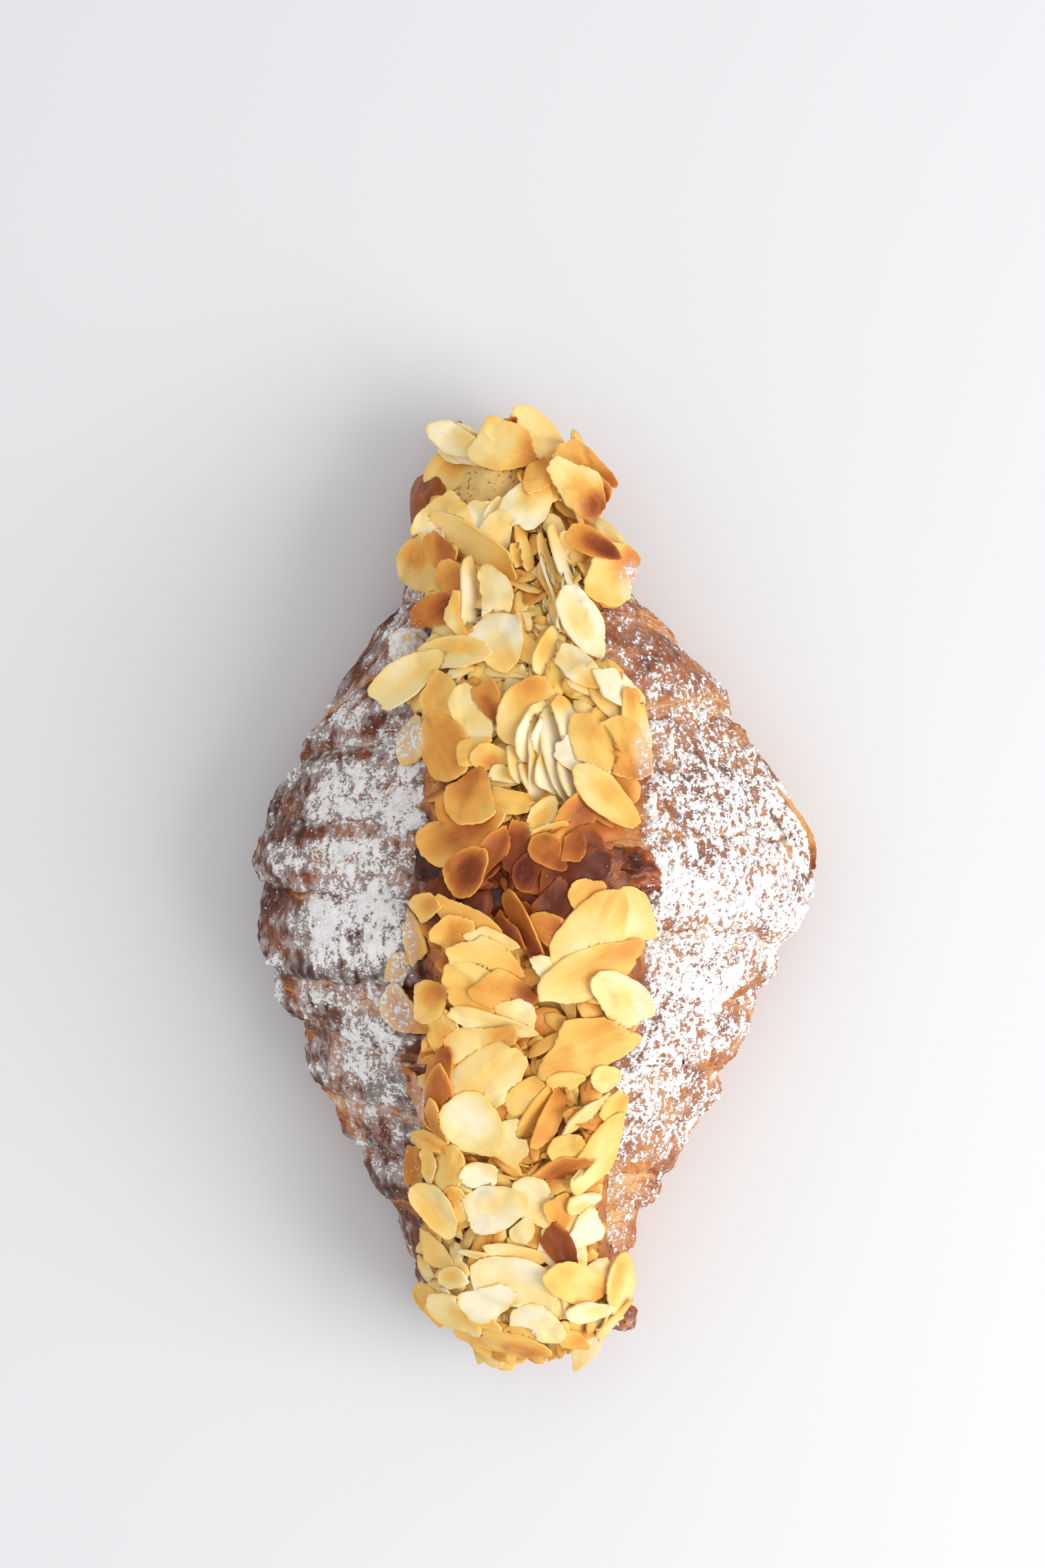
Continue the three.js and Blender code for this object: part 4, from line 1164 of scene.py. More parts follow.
NARROW_SIDE = [
    [-13.2, 54, -70, 9.6, 5.6, 0, 0.55, 0.6], [-16.4, 49, 20, 8.6, 6, 12, 0.68, 0.74],
    [-12, 48, -65, 9.8, 4.8, 8, 0.28, 0.4], [-7.4, 48, 90, 8, 5, 0, 0.1, 0.12],
    [-6.6, 53, 105, 9.5, 5.4, 8, 0.14, 0.2], [-10.6, 52.4, 97, 15, 4.6, 50, 0.12, 0.28],
    [2.9, 55, 100, 9, 3, 45, 0.15, 0.2], [5.2, 51, 80, 11, 2.5, 50, 0.15, 0.2],
    [-2, 47, 100, 5, 1.8, 50, 0.4, 0.4], [-0.6, 42.4, -45, 8, 4.4, 0, 0.34, 0.4],
    [-5.9, 44, -72, 11.4, 8.2, 0, 0.07, 0.24], [9.2, 47, -60, 12.8, 7.2, 0, 0.07, 0.14],
    [2.4, 42.4, 70, 9.4, 3.6, 26, 0.24, 0.3], [7.6, 39.4, -50, 9.8, 5.2, 8, 0.12, 0.46],
    [14.2, 36, -20, 10.6, 8, 0, 0.1, 0.15], [-13, 42, -5, 12.6, 5, 8, 0.2, 0.24],
    [-20.6, 27.4, 100, 8.4, 6.4, 0, 0.3, 0.34],
    [-21.3, 37.6, 38, 13.4, 6.6, 0, 0.2, 0.24], [-15.4, 33.4, 110, 10.5, 6.8, 0, 0.34, 0.4],
    [-10.6, 30.6, 105, 11.5, 6.6, 0, 0.2, 0.26], [-7.3, 34, -65, 9, 4, 28, 0.54, 0.68],
    [17.6, 30, 88, 13, 5.6, 4, 0.3, 0.46], [15.8, 24.6, -65, 12.5, 8.2, 0, 0.44, 0.58],
    [-15, 26, 120, 11.4, 7.8, 0, 0.44, 0.5], [-9.9, 25.2, 20, 7, 4, 0, 0.35, 0.4],
    [-7, 24, 0, 6, 4, 0, 0.34, 0.2], [-5, 20.9, -15, 5.5, 3.2, 0, 0.14, 0.2],
    [-3.3, 16.6, -10, 9, 4, 0, 0.35, 0.5]]
MIDDLE = [
    [-11.7, 11.2, 18, 14.6, 7.8, 0, 0.36, 0.42], [-10.2, 17.8, 100, 11, 7.8, 0, 0.42, 0.58],
    [7.4, 14.2, 50, 12.4, 5.8, 14, 0.54, 0.72], [12.6, 17.2, -42, 12.8, 6.4, 0, 0.25, 0.4],
    [9.6, 9, -60, 10, 5, 0, 0.74, 0.86], [1.5, 14.2, 50, 7.5, 4, 10, 0.14, 0.2],
    [2.7, 11.8, 20, 8, 2.5, 30, 0.3, 0.3], [8, 4.6, 15, 12.5, 8, 6, 0.7, 0.98],
    [-2.5, 9.2, 85, 11, 4, 10, 0.74, 0.42], [-7, 7.4, 60, 10.6, 4.6, 10, 0.58, 0.6],
    [-10.8, 5, 55, 8.5, 6, 10, 0.52, 0.56], [-0.6, 4.8, 80, 6, 4.5, 0, 0.74, 0.78],
    [3, 8, -40, 7, 4.5, 8, 0.6, 0.7], [6.8, 8.8, 60, 6, 4, 0, 0.6, 0.7],
    [3.4, -1, 80, 9, 6.8, 0, 0.72, 0.78], [9.4, 1, 30, 6, 5, 0, 0.2, 0.28],
    [1, -4, -60, 8, 3, 30, 0.64, 0.66], [5, -6.2, -38, 11, 4.5, 15, 0.5, 0.64],
    [-0.8, -5.4, -60, 14, 4.6, 30, 0.64, 0.78], [-3.2, -5.5, -60, 8, 2.5, 35, 0.7, 0.72],
    [-10.4, -3.2, -33, 12.4, 5, 10, 0.24, 0.34], [-17.8, -1, 20, 7, 4, 0, 0.15, 0.15],
    [-12.9, -5.3, 60, 8, 6.5, 0, 0.28, 0.34], [-6.5, -7, -20, 9, 4, 10, 0.15, 0.2],
    [17, -3.4, -50, 11.4, 7, 0, 0.12, 0.15], [-7.4, -10.4, -30, 13.4, 6.4, 0, 0.18, 0.36],
    [-20, -7, 95, 9, 4.4, 0, 0.28, 0.34], [-22.8, -12.6, 75, 7, 4, 0, 0.34, 0.38],
    [5, -13.4, -35, 12, 5, 0, 0.05, 0.1], [10.2, -5.2, 55, 15.4, 9.2, 0, 0.12, 0.26],
    [9.8, -12.2, 25, 18, 7.4, 8, 0.14, 0.46]]
BROAD_SIDE = [
    [-8.4, -15.8, -32, 13.4, 7.2, 0, 0.25, 0.46], [-5, -15.2, -22, 11, 6, 5, 0.4, 0.58],
    [-2.4, -19.3, -40, 7, 5.5, 0, 0.12, 0.15], [15, -17.2, -25, 12.4, 8, 0, 0.1, 0.14],
    [-14.8, -22.8, -75, 9, 6, 0, 0.28, 0.42], [-6.8, -21, -15, 14, 4.5, 8, 0.18, 0.2],
    [-21.6, -19.4, -35, 9.4, 6.4, 0, 0.34, 0.4], [-17.6, -17, 40, 7, 6, 0, 0.28, 0.3],
    [-9, -25, 35, 14, 8.2, 0, 0.22, 0.34], [9, -24.8, 13, 19, 8.8, 0, 0.34, 0.26],
    [-7.4, -30, 43, 17.2, 8.8, 0, 0.1, 0.18],
    [-15.7, -29, 60, 8, 5, 0, 0.5, 0.6], [-19.8, -34, -75, 10, 3, 20, 0.6, 0.6],
    [-16, -33.8, 75, 11, 5, 18, 0.58, 0.6], [-16.4, -38, -70, 8, 4.5, 10, 0.44, 0.5],
    [-4, -41.4, -70, 9.4, 6.4, 0, 0.2, 0.28], [-9.8, -38.6, -60, 11.6, 8.8, 0, 0.08, 0.18],
    [-0.6, -33.3, 50, 8, 5, 0, 0.28, 0.38], [1.6, -35.4, 66, 12.4, 5, 22, 0.28, 0.4],
    [5.7, -30.8, 10, 6, 3.5, 0, 0.28, 0.3], [3.2, -36.3, 70, 12, 4.5, 26, 0.44, 0.58],
    [9, -37, 50, 10.5, 4.4, 16, 0.12, 0.15], [12.6, -30.3, 0, 5, 4, 0, 0.2, 0.2],
    [14.3, -35.3, 60, 6, 5, 0, 0.28, 0.3], [6.6, -42.5, 20, 7, 5, 0, 0.24, 0.3],
    [11.6, -44, 65, 14.4, 6.4, 12, 0.24, 0.38], [5.4, -46.8, 38, 12.6, 5.8, 8, 0.5, 0.62]]
BROAD_END = [
    [-13.8, -47, 80, 9.6, 6.6, 0, 0.22, 0.3], [-17.9, -46.5, 80, 7, 4, 0, 0.2, 0.2],
    [-20.6, -47, 80, 10, 3, 20, 0.6, 0.6], [-8.3, -47.4, 0, 7, 5, 0, 0.08, 0.1],
    [-2.4, -47.9, -5, 8, 3, 60, 0.58, 0.6], [1.2, -52.6, -50, 10, 6.4, 0, 0.12, 0.15],
    [4.7, -53.7, -70, 7, 4.5, 0, 0.44, 0.5], [-13.2, -52.8, 80, 7, 5, 0, 0.28, 0.3],
    [-7.2, -53.4, 15, 12.8, 7.6, 0, 0.05, 0.12], [-16.6, -54, -60, 10, 6, 0, 0.2, 0.22],
    [9, -52.5, 0, 6, 4, 0, 0.15, 0.15], [9.6, -57.6, 70, 9, 6, 0, 0.08, 0.1],
    [-1.7, -57.3, 60, 5, 4, 0, 0.15, 0.15], [3.2, -61, -60, 8, 3.4, 26, 0.08, 0.1],
    [4.9, -60.4, -57, 9.4, 4.4, 22, 0.9, 0.98], [-8.4, -62, -8, 8.5, 2.5, 30, 0.15, 0.15],
    [-3.4, -62, -5, 11, 4, 10, 0.2, 0.24], [-16.6, -62, -40, 9.6, 4.4, 16, 0.3, 0.35],
    [-13.3, -66, 10, 6, 3.5, 0, 0.2, 0.2], [-1.2, -67, -15, 17, 7.4, 0, 0.12, 0.18],
    [8.4, -67.4, -22, 14, 6, 8, 0.34, 0.58], [15.2, -67.6, 60, 9.8, 6.4, 0, 0.24, 0.3],
    [10.4, -72, -10, 9, 4, 0, 0.12, 0.15], [-17, -72.5, -55, 9, 5, 0, 0.38, 0.44],
    [-11.8, -73, -12, 13, 7.2, 0, 0.22, 0.3], [-7.4, -69.4, 25, 10, 6.4, 0, 0.03, 0.06],
    [1.2, -74.4, -45, 10, 6.6, 0, 0.12, 0.2], [-2, -77.5, -60, 7, 5, 0, 0.44, 0.5],
    [-10, -78, -15, 10, 3, 20, 0.44, 0.5], [-3.4, -78, -18, 12.5, 5.4, 0, 0.4, 0.5],
    [14, -75, 55, 10, 3.5, 20, 0.34, 0.4]]
FAN = [
    [-0.6, 32, 65, 12, 8.4, 14, 0.3, 0.36], [-2.6, 22.8, 105, 6.5, 3.4, 28, 0.12, 0.16],
    [-0.9, 22, 105, 8.5, 3.8, 32, 0.14, 0.3], [0.9, 28.1, 75, 11.5, 6.6, 32, 0.1, 0.2],
    [1.2, 24, 88, 14.5, 5.6, 38, 0.12, 0.3], [2.2, 27.6, 70, 8, 4.6, 36, 0.06, 0.1],
    [2.9, 21.2, 95, 9, 5, 38, 0.05, 0.08], [4.4, 24.6, 100, 16.6, 6, 36, 0.05, 0.14],
    [5.8, 30.2, 105, 8.5, 5.4, 22, 0.06, 0.36], [6.5, 20.8, 100, 9, 5, 30, 0.1, 0.2],
    [8.6, 24.3, -48, 11, 6.2, 8, 0.03, 0.05], [10, 26.8, 108, 10.6, 6.4, 8, 0.34, 0.4]]
HANGING_AT = (9.6, -80.9, 18.4)
HANGING = (-105, 12.4, 4.8, 32)  # heading, length, width and drop
HANGING_TOAST = (0.12, 0.2)
HANGING_TAG = 950
FAN_SWAY = 4  # the fan's flakes stand in one line, so they stray less than the rest

# Places where sugar lies on the flakes: across, along, reach across and along, and cover
SUGARED_FLAKES = np.array([
    [-22.4, 27.6, 4.4, 4.6, 0.5], [-22, -8, 3, 8, 0.4], [-23.5, -19, 4, 7, 0.42],
    [17.6, 55, 2.4, 4, 0.4], [19.4, 25, 2.4, 6, 0.36], [19, -17, 2.4, 7, 0.34],
    [-19.4, -34, 1.6, 6, 0.3]])

# Windows where the cream or the caramel shows: across, along, reach across and along
WINDOWS = [(-9.6, 72.2, 7.6, 4.6), (-6.9, 0.9, 3.4, 3.6), (4.2, -18.4, 4, 2.6),
           (-15, -13.8, 3.6, 3), (16, 4.5, 4.8, 5), (-13, 20.5, 2.4, 2.8), (15.5, 12, 3, 3.5),
           (-15, 6.5, 3.4, 3), (4.6, -39, 1.8, 2.6), (0, -46.5, 2, 1.4), (16.5, -29, 2.6, 5),
           (-21.5, 43, 4.4, 4.6)]

# Toast of the bed's small flakes along the roll. The bed shows in the shaded gaps between the large
# flakes, and its toast is partly its own and partly painted light: set so that those gaps read warm
# golden and bright, as light through the flakes makes them.
bed_toast_and_gap_light = curve_through(
    [-80, -60, -45, -25, -12, -5, 0, 6, 12, 20, 30, 40, 50, 60, 70, 85],
    [0.3, 0.22, 0.36, 0.34, 0.3, 0.5, 0.66, 0.74, 0.58, 0.36, 0.22, 0.2, 0.26, 0.3, 0.26, 0.36])

# The oven browned the top of the heap, in its middle, more than its two ends
oven_brown = curve_through(
    [-82, -66, -52, -44, -30, -18, -8, -1, 4, 9, 20, 30, 45, 60, 72, 82],
    [-0.05, -0.05, -0.03, 0.02, 0.04, 0.05, 0.05, 0.11, 0.12, 0.07, -0.03, -0.04, -0.05, -0.05, 0,
     0.01])

chance = np.random.default_rng(17)
HEAP_HALF = (60, 96)  # half the grid's size across and along
heap_x, heap_y = [np.arange(-half, half + 0.01, CELL) for half in HEAP_HALF]


def bare_heap():
    """Heights before any flake is laid: the cream's top, the crust beside it, 0 off the pastry."""
    x, y = np.meshgrid(heap_x, heap_y, indexing="ij")
    inside = (np.abs(x - centre_line(y)) < half_width(y)) & (np.abs(y) < PLAN[0, 0])
    reach = (y > CREAM_SOUTH) & (y < CREAM_NORTH)
    height = np.where(reach, cream_top(x, y), crust_height(x, y))
    return np.where(inside, height, 0.0)


heap = bare_heap()


def unit(vector):
    """The vector divided by its length."""
    return vector / np.linalg.norm(vector)


def heap_normal(x, y):
    """Direction that the crust faces, but no steeper than a limit that falls with the ridge."""
    fall = np.array([crust_height(x - 1, y) - crust_height(x + 1, y),
                     crust_height(x, y - 1) - crust_height(x, y + 1)]) / 2
    steepest = STEEPEST * (ridge_height(y) / RIDGE_HEIGHT) ** 0.5
    ease = min(1, steepest / max(np.hypot(*fall), 1e-6))
    return unit(np.array([*(fall * ease), 1.0]))


def flake_axes(normal, heading, lean, pitch=0.0):
    """Axes of a flake: along to its point, across, and out of its face, turned and leaned."""
    turn, dip = math.radians(heading), math.radians(pitch)
    along = np.array([math.cos(turn), math.sin(turn), 0.0])
    along = unit(along - normal * (along @ normal))
    along, normal = (along * math.cos(dip) + normal * math.sin(dip),
                     normal * math.cos(dip) - along * math.sin(dip))
    tip = math.radians(lean)
    leaned = normal * math.cos(tip) + np.cross(along, normal) * math.sin(tip)
    return np.array([along, np.cross(leaned, along), leaned])


def flake_bend(u, v, curl):
    """How far a curved flake stands off its plane: by its length, its width and its twist.

    u and v are shares of half its length and half its width.
    """
    return curl[0] * (u * u - 0.3) + curl[1] * (v * v - 0.2) + curl[2] * u * v


def resting_normal(x, y, near, dx, dy, under):
    """Direction that a flake faces: between the crust's and that of the plane under it."""
    normal = heap_normal(x, y)
    if near.sum() <= PLANE_CELLS:
        return normal
    plane = np.stack([dx[near], dy[near], np.ones(near.sum())], axis=-1)
    slope = np.linalg.lstsq(plane, under[near], rcond=None)[0][:2]
    slope = np.clip(slope, -STEEPEST, STEEPEST)
    return unit(mix(normal, unit(np.array([*-slope, 1.0])), LEVELLING))


def lay(flake, x, y, heading, lean, pitch, most=HEAP_MOST):
    """Rests a flake on the heap and raises the heap's grid under it.

    The flake faces partly as the crust does, and partly as the plane that best fits what is
    under it. It comes down until a small share of its cells would be inside what it rests on,
    and no flake stands more than most over the bed. False where nothing would hold it.
    """
    length, width = flake["length"], flake["width"]
    reach = length / 2 + 1
    i = np.nonzero(np.abs(heap_x - x) < reach)[0]
    j = np.nonzero(np.abs(heap_y - y) < reach)[0]
    block = np.ix_(i, j)
    dx, dy = np.meshgrid(heap_x[i] - x, heap_y[j] - y, indexing="ij")
    under = heap[block]
    near = (np.hypot(dx, dy) < length / 2) & (under > 0)
    axes = flake_axes(resting_normal(x, y, near, dx, dy, under), heading, lean, pitch)
    face = axes[2]
    level = -(face[0] * dx + face[1] * dy) / face[2]
    offset = np.stack([dx, dy, level], axis=-1)
    ahead, aside = offset @ axes[0], offset @ axes[1]
    u, v = 2 * ahead / length, 2 * aside / width
    rise = level + flake_bend(u, v, flake["curl"]) / face[2]
    thick = FLAKE_THICK / face[2]
    inside = u * u + (v / (1 - FLAKE_POINT * np.clip(u, -1, 1))) ** 2 < 1
    for way, distance in flake["breaks"]:
        inside &= ahead * math.cos(way) + aside * math.sin(way) < distance
    held = inside & (under > 0)
    if held.sum() < FEWEST_CELLS:
        return False
    middle = np.quantile((under - rise)[held], REST_SHARE) + thick / 2 - FLAKE_SINK
    stands = width * abs(axes[1][2]) / 2 + length * abs(axes[0][2]) / 5
    middle = min(middle, ridge_height(y) + CREAM_THICK + BED_THICK + most - 0.7 * stands)
    uneven = np.clip(softened(under) - rise - middle + thick / 2, -DRAPE_MOST, DRAPE_MOST)
    uneven = np.where(under > 0, uneven, 0) * (DRAPE if abs(lean) < STIFF_LEAN else 0)
    bottom = middle + rise + uneven - thick / 2
    heap[block] = np.where(inside, np.maximum(under, bottom + thick), under)
    flake.update(axes=axes, rest=(np.array([x, y, middle]), heap_x[i], heap_y[j], uneven),
                 covers=(block, bottom, inside), thick=thick)
    return True


def softened(height):
    """Heights blurred by averaging each cell with its neighbours, three times over."""
    for _ in range(3):
        wide = np.pad(height, 1, mode="edge")
        height = (wide[1:-1, 1:-1] * 2 + wide[:-2, 1:-1] + wide[2:, 1:-1] + wide[1:-1, :-2]
                  + wide[1:-1, 2:]) / 6
    return height


def draped(points, rest):
    """Points of a flake moved up or down by the unevenness under each, read between cells."""
    across, along, uneven = rest[1:]
    just_inside = 1.001
    u = np.clip((points[:, 0] - across[0]) / CELL, 0, len(across) - just_inside)
    v = np.clip((points[:, 1] - along[0]) / CELL, 0, len(along) - just_inside)
    i, j = u.astype(int), v.astype(int)
    a, b = u - i, v - j
    rise = (uneven[i, j] * (1 - a) * (1 - b) + uneven[i + 1, j] * a * (1 - b)
            + uneven[i, j + 1] * (1 - a) * b + uneven[i + 1, j + 1] * a * b)
    return points + np.stack([0 * rise, 0 * rise, rise], axis=-1)


def flake_outline(length, width, sides, waves, breaks):
    """Outline of a flake, and how natural it is in each direction: 1, or 0 where it is broken.

    The whole flake is an oval drawn in to a point: half the width times the sine, times
    1 - FLAKE_POINT times the cosine. A broken edge is a straight cut, torn a little by waves.
    """
    turn = np.linspace(0, 2 * np.pi, sides, endpoint=False)
    torn = sum(size * np.sin(count * turn + start) for count, size, start in waves)
    x = length / 2 * np.cos(turn) * (1 + torn)
    y = width / 2 * np.sin(turn) * (1 - FLAKE_POINT * np.cos(turn)) * (1 + torn)
    natural = np.ones(sides)
    notched = 1 + torn + CUT_NOTCH * chance.uniform(-1, 1, sides)
    for way, distance in breaks:
        beyond = (x * math.cos(way) + y * math.sin(way)) / (distance * notched)
        cut = beyond > 1
        scale = np.where(cut, 1 / np.maximum(beyond, 1e-6), 1)
        x, y = x * scale, y * scale
        natural = np.where(cut, 0, natural)
    return x, y, natural


# Rings of a flake: share of its outline, and side of its thickness from top (1) to underside
WHOLE_RINGS = [(0.15, 1), (0.3, 1), (0.45, 1), (0.6, 1), (0.74, 1), (0.86, 1), (0.94, 1), (0.985, 1),
               (1.0, 0.7), (1.0, -0.7), (0.97, -1), (0.7, -1), (0.35, -1)]
SMALL_RINGS = [(0.55, 1), (0.97, 1), (1.0, -0.2), (0.5, -1)]
WHOLE_SIDES = 60
SMALL_SIDES = 14
HANGING_SIDES = 26
TORN_WAVES = [(3, 0.034), (5, 0.024), (9, 0.014), (17, 0.01), (23, 0.007)]  # number and size


def new_flake(length, width, pieces=None):
    """A flake's size, curl, torn waves, and straight edges where it is broken.

    An edge is kept as the way it faces and its distance out. With no number of pieces given the
    flake is nearly whole.
    """
    whole = pieces is None
    if whole:
        pieces = chance.choice([0, 1, 1, 2, 2, 3, 4])
    curl = (chance.uniform(-0.7, 0.8) * length / 14, chance.uniform(-0.5, 0.9) * width / 8,
            chance.uniform(-0.5, 0.5) * length / 14)
    waves = [(count, size, chance.uniform(0, 6.3)) for count, size in TORN_WAVES]
    ways = chance.uniform(0, 2 * math.pi, 5)[:pieces]
    depths = chance.uniform(0.6 if whole else 0.35, 0.92, 5)[:pieces]
    breaks = [(way, depth * math.hypot(length / 2 * math.cos(way), width / 2 * math.sin(way)))
              for way, depth in zip(ways, depths)]
    return {"length": length, "width": width, "curl": curl, "waves": waves, "breaks": breaks}


def flake_mesh(flake, toast, sides, rings, tag):
    """Gives a laid flake its points, faces, toast and pattern coordinates.

    It is browner towards its point and in a soft spot off its middle. Its rim is drawn towards
    gold, so that it is browner than a pale flake and paler than a brown one. Its tag gives it a
    pattern of its own.
    """
    length, width = flake["length"], flake["width"]
    out_x, out_y, natural = flake_outline(length, width, sides, flake["waves"], flake["breaks"])
    share, side = np.array(rings).T[:, :, None]
    sheet = np.stack([out_x * share, out_y * share, side * FLAKE_THICK / 2 + 0 * out_x], axis=-1)
    points, quads, caps = capped(sheet, [[0, 0, FLAKE_THICK / 2], [0, 0, -FLAKE_THICK / 2]])
    flat = points[:, :2].copy()
    u, v = 2 * flat[:, 0] / length, 2 * flat[:, 1] / width
    points[:, 2] += flake_bend(u, v, flake["curl"])
    points = draped(flake["rest"][0] + points @ flake["axes"], flake["rest"])
    place = np.stack([flat[:, 0], flat[:, 1], 0 * u + tag * 3.1], axis=-1)
    rim = np.concatenate([(share ** 9 * (0.35 + 0.65 * natural)).ravel(), [0, 0]])
    rim = rim * chance.uniform(0.25, 0.85) * smooth(-0.9, 0.3, lumps(place, 4, 62))
    cut = (np.abs(side) < 1) * (0.05 + 0.12 * (1 - natural)) + 0 * share
    cut = np.concatenate([cut.ravel(), [0, 0]])
    spot = np.hypot(u - chance.uniform(-0.2, 0.6), v - chance.uniform(-0.4, 0.4))
    spot = chance.uniform(0, 0.24) * smooth(0.95, 0.2, spot)
    level = mix(toast[0], toast[1], smooth(0.1, 0.9, u)) - 0.03 + spot + oven_brown(points[:, 1])
    level = level + 0.1 * lumps(place, 4.5, 61)
    level = mix(level, np.maximum(RIM_TOAST, level - 0.3), rim) - cut
    flake.update(points=points, quads=quads, caps=caps, toast=level,
                 side=np.concatenate([(side + 0 * out_x).ravel(), [1, -1]]),
                 pattern=flat + np.array([tag * 37.0 % 400, tag * 53.0 % 400]))


NO_CEILING = 999.0


def over(ceiling, points):
    """Height of the ceiling over each point."""
    i, j = [np.clip(np.rint((points[:, axis] - line[0]) / CELL).astype(int), 0, len(line) - 1)
            for axis, line in enumerate((heap_x, heap_y))]
    return ceiling[i, j]


def press_down(flakes):
    """Brings each flake clear of the flakes laid on it, from the top of the heap down.

    The undersides make a ceiling over the cells that they cover. Where a flake stands far above
    the ceiling it has snapped off: its points draw in along it to its middle until they stand no
    more than SNAP_AT above. A point still above the ceiling comes down to it, or to a flake's
    thickness under it where it is on the lower face.
    """
    ceiling = np.full(heap.shape, NO_CEILING)
    for flake in reversed(flakes):
        points = flake["points"]
        lower = (1 - flake["side"]) / 2 * flake["thick"]
        middle = points[-2:].mean(axis=0)
        best = points.copy()
        for share in SNAP_SHARES:
            tried = middle + share * (points - middle)
            free = best[:, 2] - over(ceiling, best) > SNAP_AT
            best[free] = tried[free]
        points[:] = best
        points[:, 2] = np.minimum(points[:, 2], over(ceiling, points) - PRESS_GAP - lower)
        block, bottom, inside = flake["covers"]
        bottom = np.minimum(bottom, ceiling[block] - PRESS_GAP - flake["thick"])
        ceiling[block] = np.where(inside, np.minimum(ceiling[block], bottom), ceiling[block])


def joined(name, flakes):
    """One piece from many flakes, with sugar on those beside the dusted sides."""
    def together(key):
        return np.concatenate([flake[key] for flake in flakes])
    points = together("points")
    offsets = np.cumsum([0] + [len(flake["points"]) for flake in flakes])
    quads, caps = [np.concatenate([flake[key] + offset for flake, offset in zip(flakes, offsets)])
                   for key in ("quads", "caps")]
    x, y = points[:, 0], points[:, 1]
    outermost = np.maximum(smooth(-15.5, -20, x), smooth(15.5, 20, x)) * smooth(66, 56, y)
    marks = {"toast": np.clip(together("toast"), 0, 1),
             "sugar": spotted(x, y, SUGARED_FLAKES, 0.0),
             "dust": FLAKE_DUST[0] * outermost - FLAKE_DUST[1],
             "veil": np.full(len(points), BLOOM)}
    piece = make_piece(name, points, quads, caps, almond, marks, together("pattern"))
    belongs(piece, "flaked_almonds")


def in_window(x, y, spare):
    """Whether a place is inside a window made larger by spare."""
    return any(((x - wx) / (rx * spare)) ** 2 + ((y - wy) / (ry * spare)) ** 2 < 1
               for wx, wy, rx, ry in WINDOWS)


BED_CELL = (5.6, 5.2)  # of the jittered grid, across and along
BED_ENDS = (-79, 81)
BED_INSET = 3.0  # how far inside the heap's two margins the small flakes' middles lie
BED_LAYERS = 5
BED_MOST = 1.3  # how far a small flake may stand over the bed
BED_LEANS = [0, 8, 16, 26, 36]
BED_TAG = 500
WINDOW_SPARE = 1.15


def bed_flake(x, y, tag):
    """A small broken flake of the bed at a place, or None where it can't rest."""
    length = chance.uniform(7, 12)
    flake = new_flake(length, length * chance.uniform(0.3, 0.74), chance.integers(2, 5))
    lean = chance.choice(BED_LEANS) * chance.choice([-1, 1])
    if not lay(flake, x, y, chance.uniform(0, 360), lean, 0, BED_MOST):
        return None
    # A little more toast than the curve, so that the shaded gaps read warm golden: painted light.
    level = float(bed_toast_and_gap_light(y)) + 0.04 + chance.uniform(-0.12, 0.14)
    flake_mesh(flake, (level, level + chance.uniform(-0.05, 0.2)), SMALL_SIDES, SMALL_RINGS, tag)
    return flake


def almond_bed():
    """The small flakes underneath: one in each cell of a jittered grid over the cream, in layers."""
    flakes = []
    for _ in range(BED_LAYERS):
        for y in np.arange(*BED_ENDS, BED_CELL[1]):
            left, right = float(heap_left(y)) + BED_INSET, float(heap_right(y)) - BED_INSET
            count = max(int((right - left) / BED_CELL[0] + 0.7), 2)
            for column in range(count):
                x = mix(left, right, (column + chance.uniform(0.05, 0.95)) / count)
                here = y + chance.uniform(-2.3, 2.3)
                if in_window(x, here, WINDOW_SPARE):
                    continue
                flake = bed_flake(x, here, len(flakes) + BED_TAG)
                if flake:
                    flakes.append(flake)
    return flakes


def almond_zone(table, first_tag, sway=16):
    """The large flakes of one stretch of the heap, laid in their order.

    Each leans and pitches by up to sway degrees more or less than its table says.
    """
    flakes = []
    for number, (x, y, heading, length, width, lean, blunt, point) in enumerate(table):
        flake = new_flake(length * FLAKE_SWELL, width * FLAKE_SWELL)
        lean = lean + chance.uniform(-sway, sway)
        if lay(flake, x, y, heading, lean, chance.uniform(-0.55, 0.55) * sway):
            flake_mesh(flake, (blunt, point), WHOLE_SIDES, WHOLE_RINGS, first_tag + number)
            flakes.append(flake)
    return flakes


def hanging_flake():
    """The flake that hangs over the broad end with its point down."""
    heading, length, width, drop = HANGING
    tilt, turn = math.radians(drop), math.radians(heading)
    face = np.array([math.sin(tilt) * math.cos(turn), math.sin(tilt) * math.sin(turn),
                     math.cos(tilt)])
    flake = new_flake(length, width, 1)
    undraped = (np.array([0, CELL]), np.array([0, CELL]), np.zeros((2, 2)))
    flake.update(axes=flake_axes(face, heading, 0), rest=(np.array(HANGING_AT), *undraped))
    flake_mesh(flake, HANGING_TOAST, HANGING_SIDES, WHOLE_RINGS, HANGING_TAG)
    joined("hanging_flake", [flake])


# The heap, in the order that its flakes are laid
almond_heap = {
    "almond_bed": almond_bed(),
    "flakes_narrow_end": almond_zone(NARROW_END, 0),
    "flakes_narrow_side": almond_zone(NARROW_SIDE, 100),
    "almond_fan": almond_zone(FAN, 900, FAN_SWAY),
    "flakes_middle": almond_zone(MIDDLE, 200),
    "flakes_broad_side": almond_zone(BROAD_SIDE, 300),
    "flakes_broad_end": almond_zone(BROAD_END, 400)}
press_down(sum(almond_heap.values(), []))
for name, flakes in almond_heap.items():
    joined(name, flakes)
hanging_flake()

# ---- knob, nib and nugget -----------------------------------------------------------------------

LUMP_GRID = (44, 72)


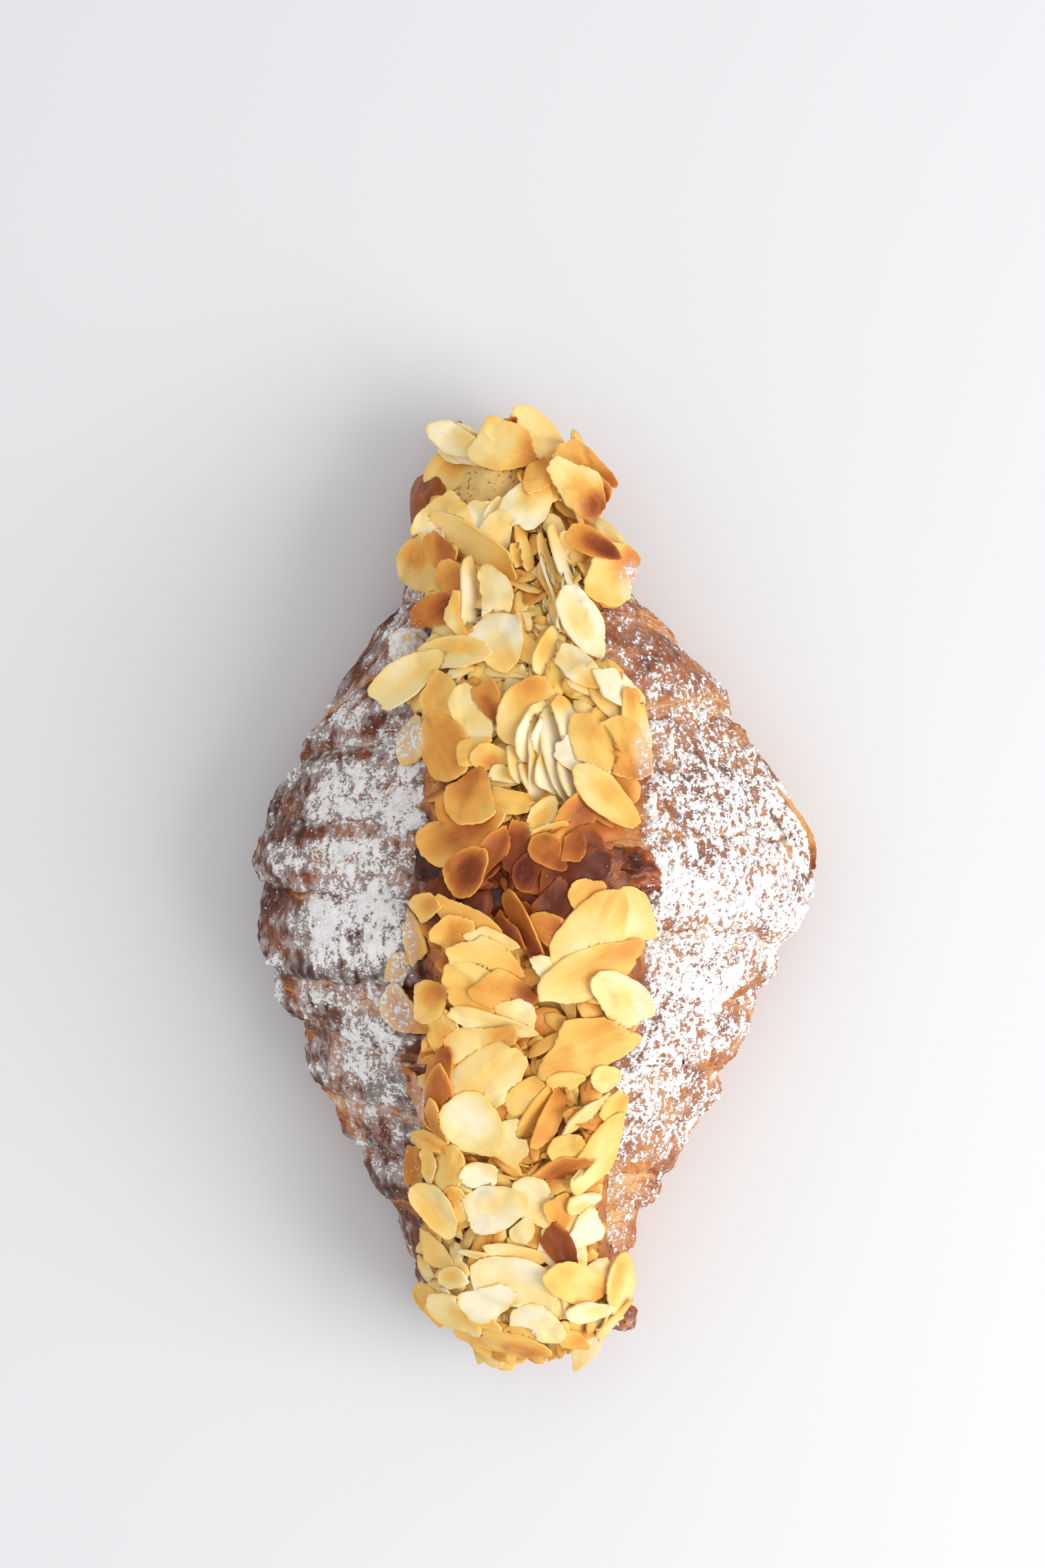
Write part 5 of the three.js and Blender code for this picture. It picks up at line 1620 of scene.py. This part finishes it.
def ball(rows, columns):
    """Unit ball on a grid of rows from pole to pole and columns round it, with its two poles."""
    down = np.linspace(0, np.pi, rows + 2)[1:-1, None]
    turn = np.linspace(0, 2 * np.pi, columns, endpoint=False)[None, :]
    grid = np.stack([np.sin(down) * np.cos(turn), np.sin(down) * np.sin(turn),
                     np.cos(down) + 0 * turn], axis=-1)
    return capped(grid, [[0, 0, 1], [0, 0, -1]])


def lump(name, node, slot, at, radii, material, toast, sugar_level, rough, seed):
    """A rough lump: a ball stretched to its radii, its surface moved in and out by noise."""
    flat, quads, caps = ball(*LUMP_GRID)
    swell = 1 + rough * layered(flat, 0.9, seed, 3) + 0.4 * rough * layered(flat, 0.25, seed + 5, 2)
    points = np.array(at) + flat * np.array(radii) * swell[:, None]
    points[:, 2] = np.maximum(points[:, 2], 0)
    none = np.zeros(len(points))
    marks = {"toast": toast + 0.15 * layered(points, 2.4, seed + 8, 2),
             "sugar": np.clip(sugar_level + 0.5 * layered(points, 1.1, seed + 9, 2), 0, 1),
             "dust": none + sugar_level, "veil": none + BLOOM, "band": none}
    piece = make_piece(name, points, quads, caps, material, marks, flat[:, :2] * 6)
    belongs(piece, node)


def middle_and_reach(node):
    """Middle and half sizes of a node's box, in millimetres of the plan."""
    low, high = [np.array(corner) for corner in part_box(node)]
    return ((low + high) / 2 - SHIFT) / MM, (high - low) / 2 / MM


lump("knob_of_inner_layer", "pastry", "crust", (-17.3, 69, 12.2), (4.5, 6.8, 9), crust,
     toast=0.62, sugar_level=-0.5, rough=0.12, seed=700)
lump("sugared_nib_lump", "sugared_nib", "sugar", *middle_and_reach("sugared_nib"), almond,
     toast=0.2, sugar_level=0.6, rough=0.26, seed=720)
lump("toasted_nugget_lump", "toasted_nugget", "crumb", *middle_and_reach("toasted_nugget"), cream,
     toast=0.78, sugar_level=0.1, rough=0.3, seed=740)

# ---- floor, light and camera --------------------------------------------------------------------

CAMERA_AT = (-1.54, 19.5, 620.0)
LENS = 77.86
SENSOR = 36.0
FLOOR_HALF = 40000.0
FLOOR_COLOUR = (0.795, 0.8, 0.815, 1)
KEY_AT = (540.0, -170.0, 470.0)
KEY_SIZE = 540.0
KEY_POWER = 3.6
SURROUND_COLOUR = (0.985, 0.985, 1.0, 1)
SURROUND_STRENGTH = 0.75


def studio():
    """Pale floor, an even bright surround, one large soft light from the right, and the camera."""
    pale, _, shader, _ = new_material("pale_floor", 0.8)
    shader.inputs["Base Color"].default_value = FLOOR_COLOUR
    corners = np.array([[-1, -1, 0], [1, -1, 0], [1, 1, 0], [-1, 1, 0]]) * FLOOR_HALF
    floor = bpy.data.meshes.new("floor")
    floor.from_pydata(corners * MM, [], [(0, 1, 2, 3)])
    floor.materials.append(pale)
    floor = bpy.data.objects.new("floor", floor)
    bpy.context.scene.collection.objects.link(floor)

    world = bpy.data.worlds.new("surround")
    world.use_nodes = True
    background = world.node_tree.nodes["Background"]
    background.inputs["Color"].default_value = SURROUND_COLOUR
    background.inputs["Strength"].default_value = SURROUND_STRENGTH
    bpy.context.scene.world = world

    key = bpy.data.lights.new("key", "AREA")
    key.shape = "SQUARE"
    key.size = KEY_SIZE * MM
    key.energy = KEY_POWER
    key = bpy.data.objects.new("key", key)
    key.location = placed(np.array(KEY_AT))
    key.rotation_euler = (0, math.atan2(KEY_AT[0], KEY_AT[2]), math.atan2(KEY_AT[1], KEY_AT[0]))
    bpy.context.scene.collection.objects.link(key)

    camera = bpy.data.cameras.new("camera")
    camera.sensor_fit = "VERTICAL"
    camera.sensor_height = SENSOR
    camera.lens = LENS
    camera.clip_start = 0.01
    camera = bpy.data.objects.new("camera", camera)
    camera.location = placed(np.array(CAMERA_AT))
    bpy.context.scene.collection.objects.link(camera)
    bpy.context.scene.camera = camera
    bpy.context.scene.view_settings.view_transform = "Standard"


studio()
